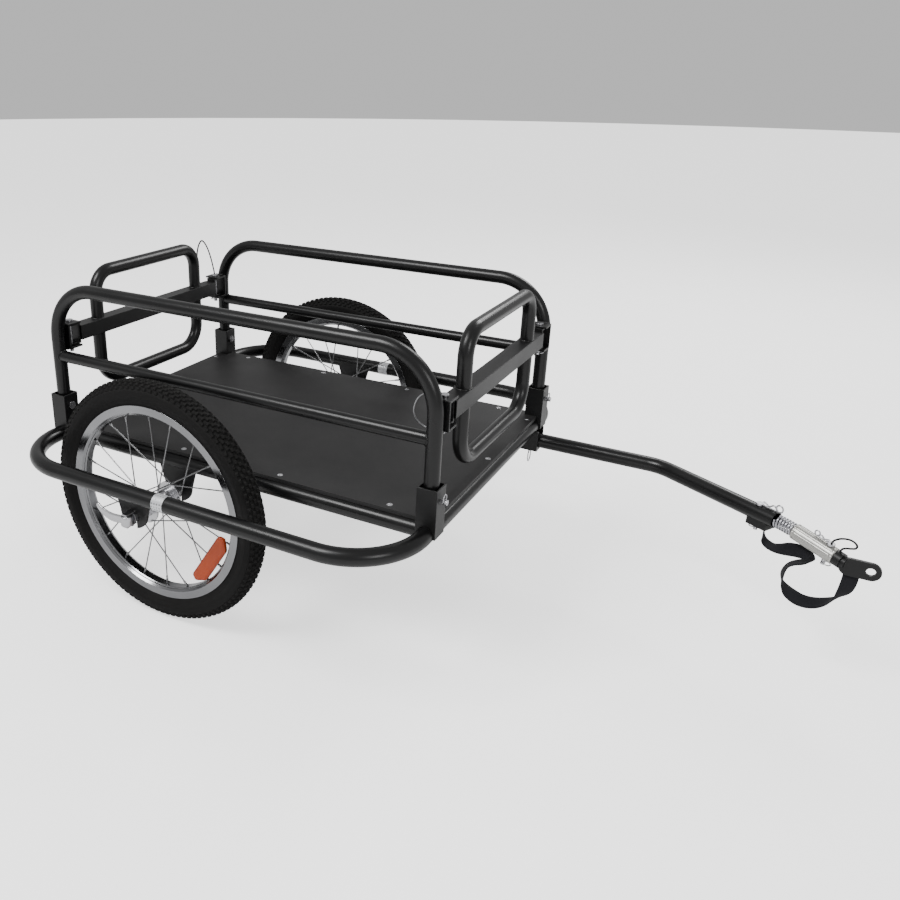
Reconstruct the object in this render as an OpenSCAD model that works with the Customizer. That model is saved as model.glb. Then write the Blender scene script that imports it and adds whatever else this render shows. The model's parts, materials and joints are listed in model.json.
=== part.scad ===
// Two-wheeled folding-side cargo trailer for a bicycle.
// +X points forward to the tow coupler, +Y to the trailer's left and +Z up.
// The origin lies on the floor, under the middle of the whole trailer's plan outline.

/* [Frame] */
// Length between the centres of the front and rear corner posts
post_span_x = 680; // [560:10:860]
// Width between the centres of the left and right corner posts
post_span_y = 454; // [380:2:600]
// Height of the frame tubes' centres above the floor
frame_z = 244; // [236:1:300]
// Outer diameter of the frame tubes
frame_tube_d = 25; // [22:0.5:30]
// Wall of every tube
tube_wall = 1.5; // [1:0.1:2.5]
// Bend radius of the bumper corners
bumper_bend_r = 105; // [70:5:120]
// Place of the middle cross tube in front of the trailer's middle
mid_cross_x = 110; // [60:5:160]

/* [Deck] */
// Thickness of the deck board
deck_t = 6; // [4:0.5:12]
// Height of a deck screw's head
screw_head_h = 1.6; // [1:0.1:3]
// Diameter of a deck screw's head
screw_head_d = 9; // [7:0.5:12]

/* [Corner sockets and side panels] */
// Outer width of the square corner sockets
socket_w = 30; // [28:0.5:36]
// Wall of the square corner sockets
socket_wall = 2; // [1.5:0.1:3]
// Height of the sockets above the frame tubes' centres
socket_rise = 69; // [50:1:100]
// Height of the lock pins above the frame tubes' centres
lock_pin_rise = 49; // [36:1:60]
// Diameter of the lock pins
lock_pin_d = 8; // [6:0.5:10]
// Outer diameter of the side hoops and the end hoops
hoop_tube_d = 22; // [19:0.5:24]
// Height of the side hoops' top tube above the floor
side_top_z = 497; // [430:1:620]
// Bend radius of the side hoops
side_bend_r = 85; // [50:5:120]
// Outer diameter of the side panels' middle rails
mid_rail_d = 19; // [16:0.5:22]
// Height of the middle rails above the floor
mid_rail_z = 379; // [350:1:388]

/* [End panels] */
// Outer width of the square end bars
bar_w = 25; // [20:0.5:30]
// Height of the end bars' centres above the floor
bar_z = 410; // [404:1:450]
// Width between the legs of the end hoops
end_hoop_span = 268; // [200:2:320]
// Height of the upper end hoops' top tube above the end bars' centres
end_upper_rise = 91; // [70:1:140]
// Depth of the lower end hoops' bottom tube below the end bars' centres
end_lower_drop = 104; // [80:1:112]
// Bend radius of the upper end hoops
end_upper_bend_r = 36; // [30:1:50]
// Bend radius of the lower end hoops
end_lower_bend_r = 45; // [35:1:60]
// Diameter of the pins that hold the end panels
panel_pin_d = 7; // [5:0.5:9]
// Thickness of the brackets that take the panel pins
bracket_t = 3; // [2:0.5:4]
// Height of the post brackets
bracket_h = 43; // [40:1:52]
// Reach of the post brackets from the posts
bracket_reach = 27; // [24:1:32]

/* [Wheels] */
// Outer diameter of the tyres
tyre_d = 400; // [360:1:430]
// Width of the tyres' round section
tyre_w = 38; // [34:1:44]
// Outer diameter of the rims
rim_d = 322; // [290:1:340]
// Width of the rims
rim_w = 25; // [22:0.5:30]
// Place of the wheel axles behind the trailer's middle
axle_back = 90; // [0:5:120]
// Width of the wheel's hub between its end faces
hub_w = 100; // [90:1:104]
// Number of spokes in a wheel
spoke_count = 20; // [16:4:28]
// Diameter of a spoke
spoke_d = 2; // [1.8:0.1:2.3]
// Width of the gaps that the tyres run in, from side rail to bumper centre
wheel_bay = 127; // [120:1:150]
// Thickness of the axle plates
axle_plate_t = 4; // [3:0.5:5]
// Width of the axle plates
axle_plate_w = 76; // [60:1:90]

/* [Drawbar and coupler] */
// Distance of the drawbar's straight part from the trailer's middle plane
drawbar_y = 212; // [150:2:212]
// Distance of the drawbar's bend in front of the front cross tube's centre
drawbar_bend_x = 221; // [160:1:300]
// Angle by which the drawbar bends inwards
drawbar_angle = 30; // [20:1:40]
// Length of the drawbar from its bend to its front end
drawbar_front = 212; // [180:1:300]
// Bend radius of the drawbar
drawbar_bend_r = 70; // [60:5:120]
// Length of the coupler's spring
spring_len = 30; // [24:1:50]
// Outer diameter of the coupler's spring
spring_d = 21; // [18:0.5:24]
// Diameter of the spring's wire
spring_wire = 3; // [2:0.1:3.4]
// Droop of the coupler below the drawbar's line
coupler_droop = 9; // [0:1:14]
// Length of the coupler's sleeve
sleeve_len = 64; // [40:1:80]
// Outer diameter of the coupler's sleeve
sleeve_d = 24; // [22:0.5:28]
// Diameter of the hitch arm's shank
shank_d = 16; // [12:0.5:18]
// Diameter of the hole that takes the bicycle's axle
hitch_hole_d = 12; // [10:0.5:14]
// Width of the hitch plate
hitch_plate_w = 26; // [24:1:34]
// Thickness of the hitch plate
hitch_plate_t = 5; // [4:0.5:6]
// Diameter of the coupler's safety pins
coupler_pin_d = 6; // [5:0.5:7]

/* [Fits] */
// Radial clearance of a turning pin in its bore
running_gap = 0.05; // [0.02:0.01:0.1]
// Radial clearance of a pin that is pulled by hand
pin_gap = 0.05; // [0.02:0.01:0.1]
// Space between curved faces of neighbouring pieces
near_gap = 0.3; // [0.2:0.05:0.5]

/* [Hidden] */
$fn = 64;

tube_r = frame_tube_d / 2;
hoop_r = hoop_tube_d / 2;
post_x = post_span_x / 2;
post_y = post_span_y / 2;
bumper_y = post_y + wheel_bay;
plate_inset = 5;
inner_plate_y = post_y + tube_r - plate_inset + axle_plate_t;
wheel_y = inner_plate_y + near_gap / 2 + hub_w / 2;
outer_plate_y = wheel_y + hub_w / 2 + near_gap / 2 + axle_plate_t;
wheel_z = tyre_d / 2;
deck_z = frame_z + tube_r;
deck_top = deck_z + deck_t;
post_foot_z = frame_z + tube_r + near_gap;
drawbar_z = frame_z - tube_r - frame_tube_d / 2;

// Height of the lock pins and size of their heads
lock_pin_z = frame_z + lock_pin_rise;
pin_head_h = 3;
pin_head_over = 5;

// The drawbar's bend, front end and the coupler's pivot in the trailer's own plan
bend_vertex = [post_x + drawbar_bend_x, drawbar_y, drawbar_z];
front_dir = [cos(drawbar_angle), -sin(drawbar_angle), 0];
drawbar_end = bend_vertex + front_dir * drawbar_front;
pivot = drawbar_end + front_dir * spring_len / 2;
coupler_dir = [cos(drawbar_angle) * cos(coupler_droop), -sin(drawbar_angle) * cos(coupler_droop),
    -sin(coupler_droop)];
sleeve_start = spring_len / 2;
arm_reach = sleeve_start + sleeve_len + 16;
arm_end = pivot + coupler_dir * arm_reach;
hole_reach = 30;
plate_span = 26;
plate_drop = 3;
hole_x = arm_end[0] + hole_reach;
hole_point = [hole_x, arm_end[1], arm_end[2] - plate_drop];
front_tip = hole_x + hitch_plate_w / 2;
lock_tail = 9;
rear_tip = -post_x - socket_w / 2 - lock_tail;
x_mid = (front_tip + rear_tip) / 2;

// Moves a shape from the trailer's middle plane frame to the origin under its outline.
module placed() {
    translate([-x_mid, 0, 0])
    children();
}

module both_sides() {
    children();
    mirror([0, 1, 0])
    children();
}

module both_ends() {
    children();
    mirror([1, 0, 0])
    children();
}

// Round tubes
module ring(d, wall) {
    difference() {
        circle(d = d);
        circle(d = d - 2 * wall);
    }
}

module tube(len, d) {
    linear_extrude(len)
    ring(d, tube_wall);
}

module bend(r, angle, d) {
    rotate_extrude(angle = angle)
    translate([r, 0])
    ring(d, tube_wall);
}

// An upside-down U of tube in the XZ plane with its top tube's centre at the origin.
module hoop(span, leg, r, d) {
    translate([r - span / 2, 0, 0])
    rotate([0, 90, 0])
    tube(span - 2 * r, d);
    both_ends() {
        translate([span / 2 - r, 0, -r])
        rotate([90, 0, 0])
        bend(r, 90, d);
        translate([span / 2, 0, -leg])
        tube(leg - r, d);
    }
}

// Frame
module cross_tube(x) {
    translate([x, post_y, frame_z])
    rotate([90, 0, 0])
    tube(post_span_y, frame_tube_d);
}

module front_cross_tube() {
    color("#1b1b1d")
    placed()
    cross_tube(post_x);
}

module rear_cross_tube() {
    color("#1b1b1d")
    placed()
    cross_tube(-post_x);
}

module bumper() {
    corner_y = bumper_y - bumper_bend_r;
    corner_x = post_x - bumper_bend_r;
    translate([-corner_x, bumper_y, frame_z])
    rotate([0, 90, 0])
    tube(2 * corner_x, frame_tube_d);
    both_ends() {
        translate([corner_x, corner_y, frame_z])
        bend(bumper_bend_r, 90, frame_tube_d);
        translate([post_x, corner_y, frame_z])
        rotate([90, 0, 0])
        tube(corner_y - post_y, frame_tube_d);
    }
}

module left_bumper() {
    color("#1b1b1d")
    placed()
    bumper();
}

module right_bumper() {
    color("#1b1b1d")
    placed()
    mirror([0, 1, 0])
    bumper();
}

module cross_tube_space(x) {
    translate([x, bumper_y, frame_z])
    rotate([90, 0, 0])
    cylinder(h = 2 * bumper_y, d = frame_tube_d);
}

module side_rail_space() {
    translate([-post_x, post_y, frame_z])
    rotate([0, 90, 0])
    cylinder(h = post_span_x, d = frame_tube_d);
}

module side_rail() {
    difference() {
        translate([-post_x, post_y, frame_z])
        rotate([0, 90, 0])
        tube(post_span_x, frame_tube_d);
        both_ends()
        cross_tube_space(post_x);
    }
}

module left_side_rail() {
    color("#1b1b1d")
    placed()
    side_rail();
}

module right_side_rail() {
    color("#1b1b1d")
    placed()
    mirror([0, 1, 0])
    side_rail();
}

module mid_cross_tube() {
    color("#1b1b1d")
    placed()
    difference() {
        cross_tube(mid_cross_x);
        both_sides()
        side_rail_space();
    }
}

// Corner sockets, saddled over the frame tubes where they meet
module corner_socket() {
    socket_low = frame_z - 4;
    inner_w = socket_w - 2 * socket_wall;
    difference() {
        translate([post_x - socket_w / 2, post_y - socket_w / 2, socket_low])
        cube([socket_w, socket_w, socket_rise + 4]);
        translate([post_x - inner_w / 2, post_y - inner_w / 2, socket_low - 1])
        cube([inner_w, inner_w, socket_rise + 6]);
        cross_tube_space(post_x);
        side_rail_space();
        translate([post_x - socket_w, post_y, lock_pin_z])
        rotate([0, 90, 0])
        cylinder(h = 2 * socket_w, r = lock_pin_d / 2 + pin_gap);
    }
}

module corner_sockets() {
    color("#161618")
    placed()
    both_sides()
    both_ends()
    corner_socket();
}

// Deck
deck_overlap = 6;
deck_half_x = post_x + deck_overlap;
deck_half_y = post_y + 3;
notch_x = post_x - socket_w / 2 - near_gap;
notch_y = post_y - socket_w / 2 - near_gap;
screw_columns = 4;

module deck_plan() {
    difference() {
        square([2 * deck_half_x, 2 * deck_half_y], center = true);
        for (sx = [-1, 1], sy = [-1, 1])
            scale([sx, sy])
            translate([notch_x, notch_y])
            square([socket_w, socket_w]);
    }
}

// A screw head sunk flush in the board, or its recess when made larger all round
module screw_head(d) {
    translate([0, 0, deck_top - screw_head_h])
    cylinder(h = screw_head_h, d1 = d - 3, d2 = d);
}

module screw_heads(d) {
    side_pitch = 2 * (notch_x - 50) / (screw_columns - 1);
    end_pitch = notch_y - 22;
    both_sides() {
        for (i = [0 : screw_columns - 1])
            translate([50 - notch_x + i * side_pitch, post_y - 9, 0])
            screw_head(d);
        both_ends()
        translate([post_x - 3, end_pitch, 0])
        screw_head(d);
    }
    both_ends()
    translate([post_x - 3, 0, 0])
    screw_head(d);
}

module deck_board() {
    color("#2b2b2c")
    placed()
    difference() {
        translate([0, 0, deck_z])
        linear_extrude(deck_t)
        deck_plan();
        screw_heads(screw_head_d + 2 * near_gap);
    }
}

module deck_screws() {
    color("silver")
    placed()
    screw_heads(screw_head_d);
}

// Pins with a flat head and a round clip through the tail, along +Z with the head on top
module clipped_pin(d, len, clip_d) {
    clip_wire = 1.6;
    clip_z = -len + 4;
    difference() {
        union() {
            cylinder(h = pin_head_h, d = d + pin_head_over);
            translate([0, 0, -len])
            cylinder(h = len, d = d);
        }
        translate([0, -d, clip_z])
        rotate([-90, 0, 0])
        cylinder(h = 2 * d, d = clip_wire + 0.4);
    }
    translate([clip_d / 2, 0, clip_z])
    rotate_extrude($fn = 32)
    translate([clip_d / 2, 0])
    circle(d = clip_wire, $fn = 16);
}

module lock_pins() {
    color("silver")
    placed()
    both_sides()
    both_ends()
    translate([post_x - socket_w / 2, post_y, lock_pin_z])
    rotate([0, -90, 0])
    clipped_pin(lock_pin_d, socket_w + lock_tail, 11);
}

// Side panels
module post_pin_hole() {
    translate([post_x - socket_w, post_y, lock_pin_z])
    rotate([0, 90, 0])
    cylinder(h = 2 * socket_w, r = lock_pin_d / 2 + pin_gap);
}

module side_hoop() {
    difference() {
        translate([0, post_y, side_top_z])
        hoop(post_span_x, side_top_z - post_foot_z, side_bend_r, hoop_tube_d);
        both_ends()
        post_pin_hole();
    }
}

module left_side_hoop() {
    color("#1b1b1d")
    placed()
    side_hoop();
}

module right_side_hoop() {
    color("#1b1b1d")
    placed()
    mirror([0, 1, 0])
    side_hoop();
}

module mid_rail() {
    difference() {
        translate([-post_x, post_y, mid_rail_z])
        rotate([0, 90, 0])
        tube(post_span_x, mid_rail_d);
        both_ends()
        translate([post_x, post_y, mid_rail_z - hoop_tube_d])
        cylinder(h = 2 * hoop_tube_d, d = hoop_tube_d);
    }
}

module left_mid_rail() {
    color("#1b1b1d")
    placed()
    mid_rail();
}

module right_mid_rail() {
    color("#1b1b1d")
    placed()
    mirror([0, 1, 0])
    mid_rail();
}

// Brackets on the posts and lugs on the end bars, which a panel pin joins
bracket_face_y = post_y - hoop_r;
panel_pin_y = bracket_face_y - bracket_t - 13;
lug_gap = 0.5;
lug_h = bracket_h - 2 * bracket_t - 2 * lug_gap;
lug_end_r = 9.5;
bar_half = panel_pin_y - 14;

module post_bracket() {
    difference() {
        union() {
            translate([post_x - socket_w / 2, bracket_face_y - bracket_t, bar_z - bracket_h / 2])
            cube([socket_w, bracket_t, bracket_h]);
            for (z = [bar_z - bracket_h / 2, bar_z + bracket_h / 2 - bracket_t])
                translate([post_x - socket_w / 2, bracket_face_y - bracket_reach, z])
                cube([socket_w, bracket_reach, bracket_t]);
        }
        translate([post_x, panel_pin_y, bar_z - bracket_h])
        cylinder(h = 2 * bracket_h, r = panel_pin_d / 2 + running_gap);
    }
}

module left_post_brackets() {
    color("#161618")
    placed()
    both_ends()
    post_bracket();
}

module right_post_brackets() {
    color("#161618")
    placed()
    mirror([0, 1, 0])
    both_ends()
    post_bracket();
}

module panel_pins() {
    color("silver")
    placed()
    both_sides()
    both_ends()
    translate([post_x, panel_pin_y, bar_z + bracket_h / 2 + near_gap])
    clipped_pin(panel_pin_d, bracket_h + 9, 10);
}

// End panels, built at the front end
module bar_lug() {
    difference() {
        union() {
            translate([post_x - lug_end_r, bar_half, bar_z - lug_h / 2])
            cube([2 * lug_end_r, bracket_t, lug_h]);
            for (z = [bar_z - lug_h / 2, bar_z + lug_h / 2 - bracket_t]) {
                translate([post_x - lug_end_r, bar_half, z])
                cube([2 * lug_end_r, panel_pin_y - bar_half, bracket_t]);
                translate([post_x, panel_pin_y, z])
                cylinder(h = bracket_t, r = lug_end_r);
            }
        }
        translate([post_x, panel_pin_y, bar_z - bracket_h])
        cylinder(h = 2 * bracket_h, r = panel_pin_d / 2 + running_gap);
    }
}

module end_bar() {
    translate([post_x, bar_half, bar_z])
    rotate([90, 0, 0])
    linear_extrude(2 * bar_half)
    difference() {
        square(bar_w, center = true);
        square(bar_w - 2 * tube_wall, center = true);
    }
}

module end_hoop(rise, r) {
    translate([post_x, 0, bar_z + rise])
    rotate([0, 0, 90])
    hoop(end_hoop_span, rise - bar_w / 2, r, hoop_tube_d);
}

module lower_end_hoop() {
    translate([0, 0, 2 * bar_z])
    mirror([0, 0, 1])
    end_hoop(end_lower_drop, end_lower_bend_r);
}

module front_end_bar() {
    color("#1f1f21")
    placed()
    end_bar();
}

module front_upper_hoop() {
    color("#1b1b1d")
    placed()
    end_hoop(end_upper_rise, end_upper_bend_r);
}

module front_lower_hoop() {
    color("#1b1b1d")
    placed()
    lower_end_hoop();
}

module front_bar_lugs() {
    color("#161618")
    placed()
    both_sides()
    bar_lug();
}

module rear_end_bar() {
    color("#1f1f21")
    placed()
    mirror([1, 0, 0])
    end_bar();
}

module rear_upper_hoop() {
    color("#1b1b1d")
    placed()
    mirror([1, 0, 0])
    end_hoop(end_upper_rise, end_upper_bend_r);
}

module rear_lower_hoop() {
    color("#1b1b1d")
    placed()
    mirror([1, 0, 0])
    lower_end_hoop();
}

module rear_bar_lugs() {
    color("#161618")
    placed()
    mirror([1, 0, 0])
    both_sides()
    bar_lug();
}

// Axle plates with an open slot that the axle drops out of
axle_d = 9.5;
axle_slot_w = 10;
plate_round_r = 26;
plate_low_z = wheel_z - 20;
plate_top_z = frame_z + 3;

module axle_plate() {
    rotate([90, 0, 0])
    linear_extrude(axle_plate_t)
    difference() {
        union() {
            translate([0, plate_low_z + plate_round_r])
            circle(r = plate_round_r);
            polygon([[-axle_plate_w / 2, plate_top_z], [-plate_round_r, plate_low_z + plate_round_r],
                [plate_round_r, plate_low_z + plate_round_r], [axle_plate_w / 2, plate_top_z]]);
        }
        translate([0, wheel_z])
        circle(d = axle_slot_w);
        translate([-axle_slot_w / 2, 0])
        square([axle_slot_w, wheel_z]);
    }
}

module inner_axle_plates() {
    color("#161618")
    placed()
    both_sides()
    difference() {
        translate([-axle_back, inner_plate_y, 0])
        axle_plate();
        side_rail_space();
    }
}

module bumper_space() {
    translate([-post_x, bumper_y, frame_z])
    rotate([0, 90, 0])
    cylinder(h = post_span_x, d = frame_tube_d);
}

module outer_axle_plates() {
    color("#161618")
    placed()
    both_sides()
    difference() {
        translate([-axle_back, outer_plate_y, 0])
        axle_plate();
        bumper_space();
    }
}

band_w = 20;
band_t = 0.6;
band_front = 57;

module reflective_bands() {
    color("#c9ccd0")
    placed()
    both_sides()
    translate([band_front - axle_back, bumper_y, frame_z])
    rotate([0, 90, 0])
    linear_extrude(band_w)
    difference() {
        circle(r = tube_r + band_t);
        circle(r = tube_r);
    }
}

// Wheels, built round the Y axis at the origin
casing_r = tyre_w / 2;
casing_t = 3;
tyre_mid_r = tyre_d / 2 - casing_r;
rim_r = rim_d / 2;
rim_floor_r = rim_r - 8;
rim_inner_r = rim_r - 17;
flange_r = 23;
flange_hole_r = 20;
flange_y = 26;
flange_t = 3;
spoke_phase = 15;

module round_y() {
    rotate([90, 0, 0])
    rotate_extrude($fn = 128)
    children();
}

module tyre() {
    bead_out = rim_w / 2 - 2 - near_gap;
    bead_w = 3;
    bead_low = rim_floor_r + near_gap;
    round_y() {
        difference() {
            translate([tyre_mid_r, 0])
            circle(r = casing_r);
            translate([tyre_mid_r, 0])
            circle(r = casing_r - casing_t);
            translate([0, bead_w - bead_out])
            square([tyre_mid_r, 2 * (bead_out - bead_w)]);
        }
        for (y = [-bead_out, bead_out - bead_w])
            translate([bead_low, y])
            square([rim_r + 5 - bead_low, bead_w]);
    }
}

module inner_tube() {
    tube_section_r = casing_r - casing_t - near_gap;
    round_y()
    difference() {
        translate([tyre_mid_r, 0])
        circle(r = tube_section_r);
        translate([tyre_mid_r, 0])
        circle(r = tube_section_r - 1.5);
    }
}

module rim() {
    half = rim_w / 2;
    round_y()
    difference() {
        polygon([[rim_inner_r, -6], [rim_inner_r + 5, -half], [rim_r, -half], [rim_r, 2 - half],
            [rim_floor_r, 2 - half], [rim_floor_r - 1.5, 3 - half], [rim_floor_r - 1.5, half - 3],
            [rim_floor_r, half - 2], [rim_r, half - 2], [rim_r, half], [rim_inner_r + 5, half],
            [rim_inner_r, 6]]);
        translate([rim_inner_r + 1.6, -half + 4])
        square([3.8, rim_w - 8]);
    }
}

function on_circle(r, a, y) = [r * sin(a), y, r * cos(a)];

module rod_between(a, b, d) {
    v = b - a;
    flat = norm([v[0], v[1]]);
    translate(a)
    rotate([0, atan2(flat, v[2]), atan2(v[1], v[0])])
    cylinder(h = norm(v), d = d, $fn = 16);
}

module spokes(d = spoke_d) {
    step = 360 / spoke_count;
    cross_turn = 62;
    for (i = [0 : spoke_count - 1]) {
        side = i % 2 == 0 ? 1 : -1;
        trail = floor(i / 2) % 2 == 0 ? 1 : -1;
        at = i * step + spoke_phase;
        hub_y = side * flange_y + side * trail * (flange_t / 2 + spoke_d / 2);
        rod_between(on_circle(flange_hole_r, at + trail * cross_turn, hub_y),
            on_circle(rim_inner_r + 1, at, side * 1.5), d);
    }
}

module hub() {
    round_y()
    difference() {
        union() {
            translate([0, -hub_w / 2 + 8])
            square([13, hub_w - 16]);
            for (y = [-flange_y, flange_y])
                translate([0, y - flange_t / 2])
                square([flange_r, flange_t]);
            translate([0, -hub_w / 2])
            square([8, hub_w]);
        }
        translate([-1, -hub_w])
        square([axle_d / 2 + running_gap + 1, 2 * hub_w]);
    }
}

reflector_mid_r = 126;
reflector_turn = 123;
reflector_len = 106;
reflector_w = 24;

module reflector() {
    half = reflector_len / 2;
    rotate([0, reflector_turn, 0])
    translate([0, -4, reflector_mid_r])
    rotate([90, 0, 0])
    linear_extrude(7)
    polygon([[-half, -2], [-half + 5, -reflector_w / 2], [half - 5, -reflector_w / 2], [half, -2],
        [half - 16, reflector_w / 2], [-half + 16, reflector_w / 2]]);
}

module at_wheel() {
    placed()
    translate([-axle_back, wheel_y, wheel_z])
    children();
}

module at_right_wheel() {
    placed()
    translate([-axle_back, -wheel_y, wheel_z])
    children();
}

// Axle rod with its inner nut, and the quick-release lever at its outer end, towards +Y
axle_out = hub_w / 2 + axle_plate_t + near_gap;
cam_r = 9;
cam_len = 16;
lever_len = 58;
cam_head_h = 6;
cam_pin_r = 2.5;
lever_y = axle_out + cam_head_h + near_gap + cam_r;

module axle() {
    rotate([90, 0, 0])
    translate([0, 0, -axle_out])
    cylinder(h = 2 * axle_out, d = axle_d);
    translate([0, -axle_out - 7, 0])
    rotate([-90, 0, 0])
    cylinder(h = 7, d = 17);
    translate([0, axle_out, 0])
    rotate([-90, 0, 0])
    cylinder(h = cam_head_h, d = 18);
    for (z = [cam_len / 2 + near_gap, -cam_len / 2 - near_gap - 2.5])
        translate([-4.5, axle_out, z])
        cube([9, lever_y - axle_out + 5, 2.5]);
    translate([0, lever_y, -cam_len / 2 - near_gap - 2.5])
    cylinder(h = cam_len + 2 * near_gap + 5, r = cam_pin_r);
}

module lever() {
    difference() {
        union() {
            translate([0, lever_y, -cam_len / 2])
            cylinder(h = cam_len, r = cam_r);
            translate([-lever_len, lever_y - 3, -5])
            cube([lever_len - 4, 5, 12]);
            translate([-lever_len, lever_y - 0.5, 1])
            rotate([90, 0, 0])
            translate([0, 0, -2.5])
            cylinder(h = 5, r = 6);
        }
        translate([0, lever_y, -cam_len])
        cylinder(h = 2 * cam_len, r = cam_pin_r + running_gap);
    }
}

module left_tyre() {
    color("#161616")
    at_wheel()
    tyre();
}

module left_inner_tube() {
    color("#202020")
    at_wheel()
    inner_tube();
}

module left_rim() {
    color("silver")
    at_wheel()
    rim();
}

module left_spokes() {
    color("silver")
    at_wheel()
    spokes();
}

module left_hub() {
    color("silver")
    at_wheel()
    hub();
}

module left_reflector() {
    color("darkorange")
    at_wheel()
    difference() {
        mirror([0, 1, 0])
        reflector();
        spokes(spoke_d + 2 * near_gap);
    }
}

module left_axle() {
    color("silver")
    at_wheel()
    axle();
}

module left_lever() {
    color("silver")
    at_wheel()
    lever();
}

module right_tyre() {
    color("#161616")
    at_right_wheel()
    tyre();
}

module right_inner_tube() {
    color("#202020")
    at_right_wheel()
    inner_tube();
}

module right_rim() {
    color("silver")
    at_right_wheel()
    rim();
}

module right_spokes() {
    color("silver")
    at_right_wheel()
    mirror([0, 1, 0])
    spokes();
}

module right_hub() {
    color("silver")
    at_right_wheel()
    hub();
}

module right_reflector() {
    color("darkorange")
    at_right_wheel()
    difference() {
        reflector();
        mirror([0, 1, 0])
        spokes(spoke_d + 2 * near_gap);
    }
}

module right_axle() {
    color("silver")
    at_right_wheel()
    mirror([0, 1, 0])
    axle();
}

module right_lever() {
    color("silver")
    at_right_wheel()
    mirror([0, 1, 0])
    lever();
}

// Drawbar: straight under the frame, one bend inwards, then straight to the coupler
drawbar_rear_x = mid_cross_x - 30;
bend_tangent = drawbar_bend_r * tan(drawbar_angle / 2);

module drawbar_pin_hole() {
    translate([post_x, drawbar_y, drawbar_z - frame_tube_d])
    cylinder(h = 2 * frame_tube_d - 4, r = lock_pin_d / 2 + pin_gap);
}

module front_pin_hole() {
    translate(drawbar_end - front_dir * rear_pin_back - [0, 0, frame_tube_d])
    cylinder(h = 2 * frame_tube_d, r = coupler_pin_d / 2 + pin_gap);
}

module at_bend() {
    translate([bend_vertex[0] - bend_tangent, drawbar_y - drawbar_bend_r, drawbar_z])
    children();
}

module drawbar_tube() {
    color("#1b1b1d")
    placed()
    difference() {
        at_bend() {
            translate([0, drawbar_bend_r, 0])
            rotate([0, -90, 0])
            tube(bend_vertex[0] - bend_tangent - drawbar_rear_x, frame_tube_d);
            rotate([0, 0, 90 - drawbar_angle])
            bend(drawbar_bend_r, drawbar_angle, frame_tube_d);
            rotate([0, 0, -drawbar_angle])
            translate([0, drawbar_bend_r, 0])
            rotate([0, 90, 0])
            tube(drawbar_front - bend_tangent, frame_tube_d);
        }
        drawbar_pin_hole();
        front_pin_hole();
    }
}

// A U of sheet round the drawbar's sides and underside, hung from a cross tube
module saddle(x, len) {
    inner = frame_tube_d / 2 + near_gap;
    outer = inner + bracket_t;
    difference() {
        translate([x - len / 2, drawbar_y - outer, drawbar_z - outer])
        cube([len, 2 * outer, outer + tube_r + 9]);
        translate([x - len, drawbar_y, drawbar_z])
        rotate([0, 90, 0])
        cylinder(h = 2 * len, r = inner);
        translate([x - len, drawbar_y - inner, drawbar_z])
        cube([2 * len, 2 * inner, 3 * tube_r]);
    }
}

module drawbar_bracket() {
    color("#161618")
    placed()
    difference() {
        saddle(post_x, 34);
        cross_tube_space(post_x);
        side_rail_space();
        drawbar_pin_hole();
    }
}

module drawbar_rear_clamp() {
    color("#161618")
    placed()
    difference() {
        saddle(mid_cross_x, 30);
        cross_tube_space(mid_cross_x);
        side_rail_space();
    }
}

module drawbar_pin() {
    pin_low = drawbar_z - frame_tube_d / 2 - near_gap - bracket_t - 6;
    ring_d = 22;
    color("silver")
    placed()
    translate([post_x, drawbar_y, pin_low]) {
        cylinder(h = drawbar_z + frame_tube_d / 2 - 1 - pin_low, d = lock_pin_d);
        translate([0, 0, 6 - pin_head_h - near_gap])
        cylinder(h = pin_head_h, d = lock_pin_d + pin_head_over);
        translate([0, 0, -ring_d / 2 + 1.2])
        rotate([90, 0, 95])
        rotate_extrude($fn = 48)
        translate([ring_d / 2, 0])
        circle(d = 2, $fn = 16);
    }
}

// Coupler
rear_pin_back = 29;
anchor_ahead = 5;
front_pin_back = 12;

module along_front() {
    translate(drawbar_end)
    rotate([0, 90, -drawbar_angle])
    children();
}

module at_coupler() {
    translate(pivot)
    rotate([0, 0, -drawbar_angle])
    rotate([0, coupler_droop, 0])
    children();
}

module strap_anchor() {
    anchor_len = 32;
    anchor_w = 20;
    color("#121214")
    placed()
    translate(drawbar_end - front_dir * (rear_pin_back - anchor_ahead))
    rotate([0, 0, -drawbar_angle])
    difference() {
        translate([-anchor_len / 2, -anchor_w / 2, -frame_tube_d / 2 - 7])
        cube([anchor_len, anchor_w, 12]);
        translate([-anchor_len, 0, 0])
        rotate([0, 90, 0])
        cylinder(h = 2 * anchor_len, d = frame_tube_d);
        translate([-anchor_ahead, 0, -frame_tube_d])
        cylinder(h = 2 * frame_tube_d, r = coupler_pin_d / 2 + pin_gap);
    }
}

module rear_safety_pin() {
    color("silver")
    placed()
    translate(drawbar_end - front_dir * rear_pin_back + [0, 0, tube_r + near_gap])
    rotate([0, 0, 180 - drawbar_angle])
    clipped_pin(coupler_pin_d, frame_tube_d + 7 + 9, 10);
}

// Coil of wire whose middle line follows the arc from the drawbar to the sleeve
coil_turns = 7;
coil_steps = 18;
coil_r = (spring_d - spring_wire) / 2;
coil_sides = 8;
arc_r = coupler_droop > 0 ? spring_len / (coupler_droop * PI / 180) : 0;

function arc_point(t) = coupler_droop > 0
    ? [arc_r * sin(coupler_droop * t), 0, arc_r * (cos(coupler_droop * t) - 1)]
    : [spring_len * t, 0, 0];
function coil_out(t) = let (a = 360 * coil_turns * t, b = coupler_droop * t)
    [sin(a) * sin(b), cos(a), sin(a) * cos(b)];

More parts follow.
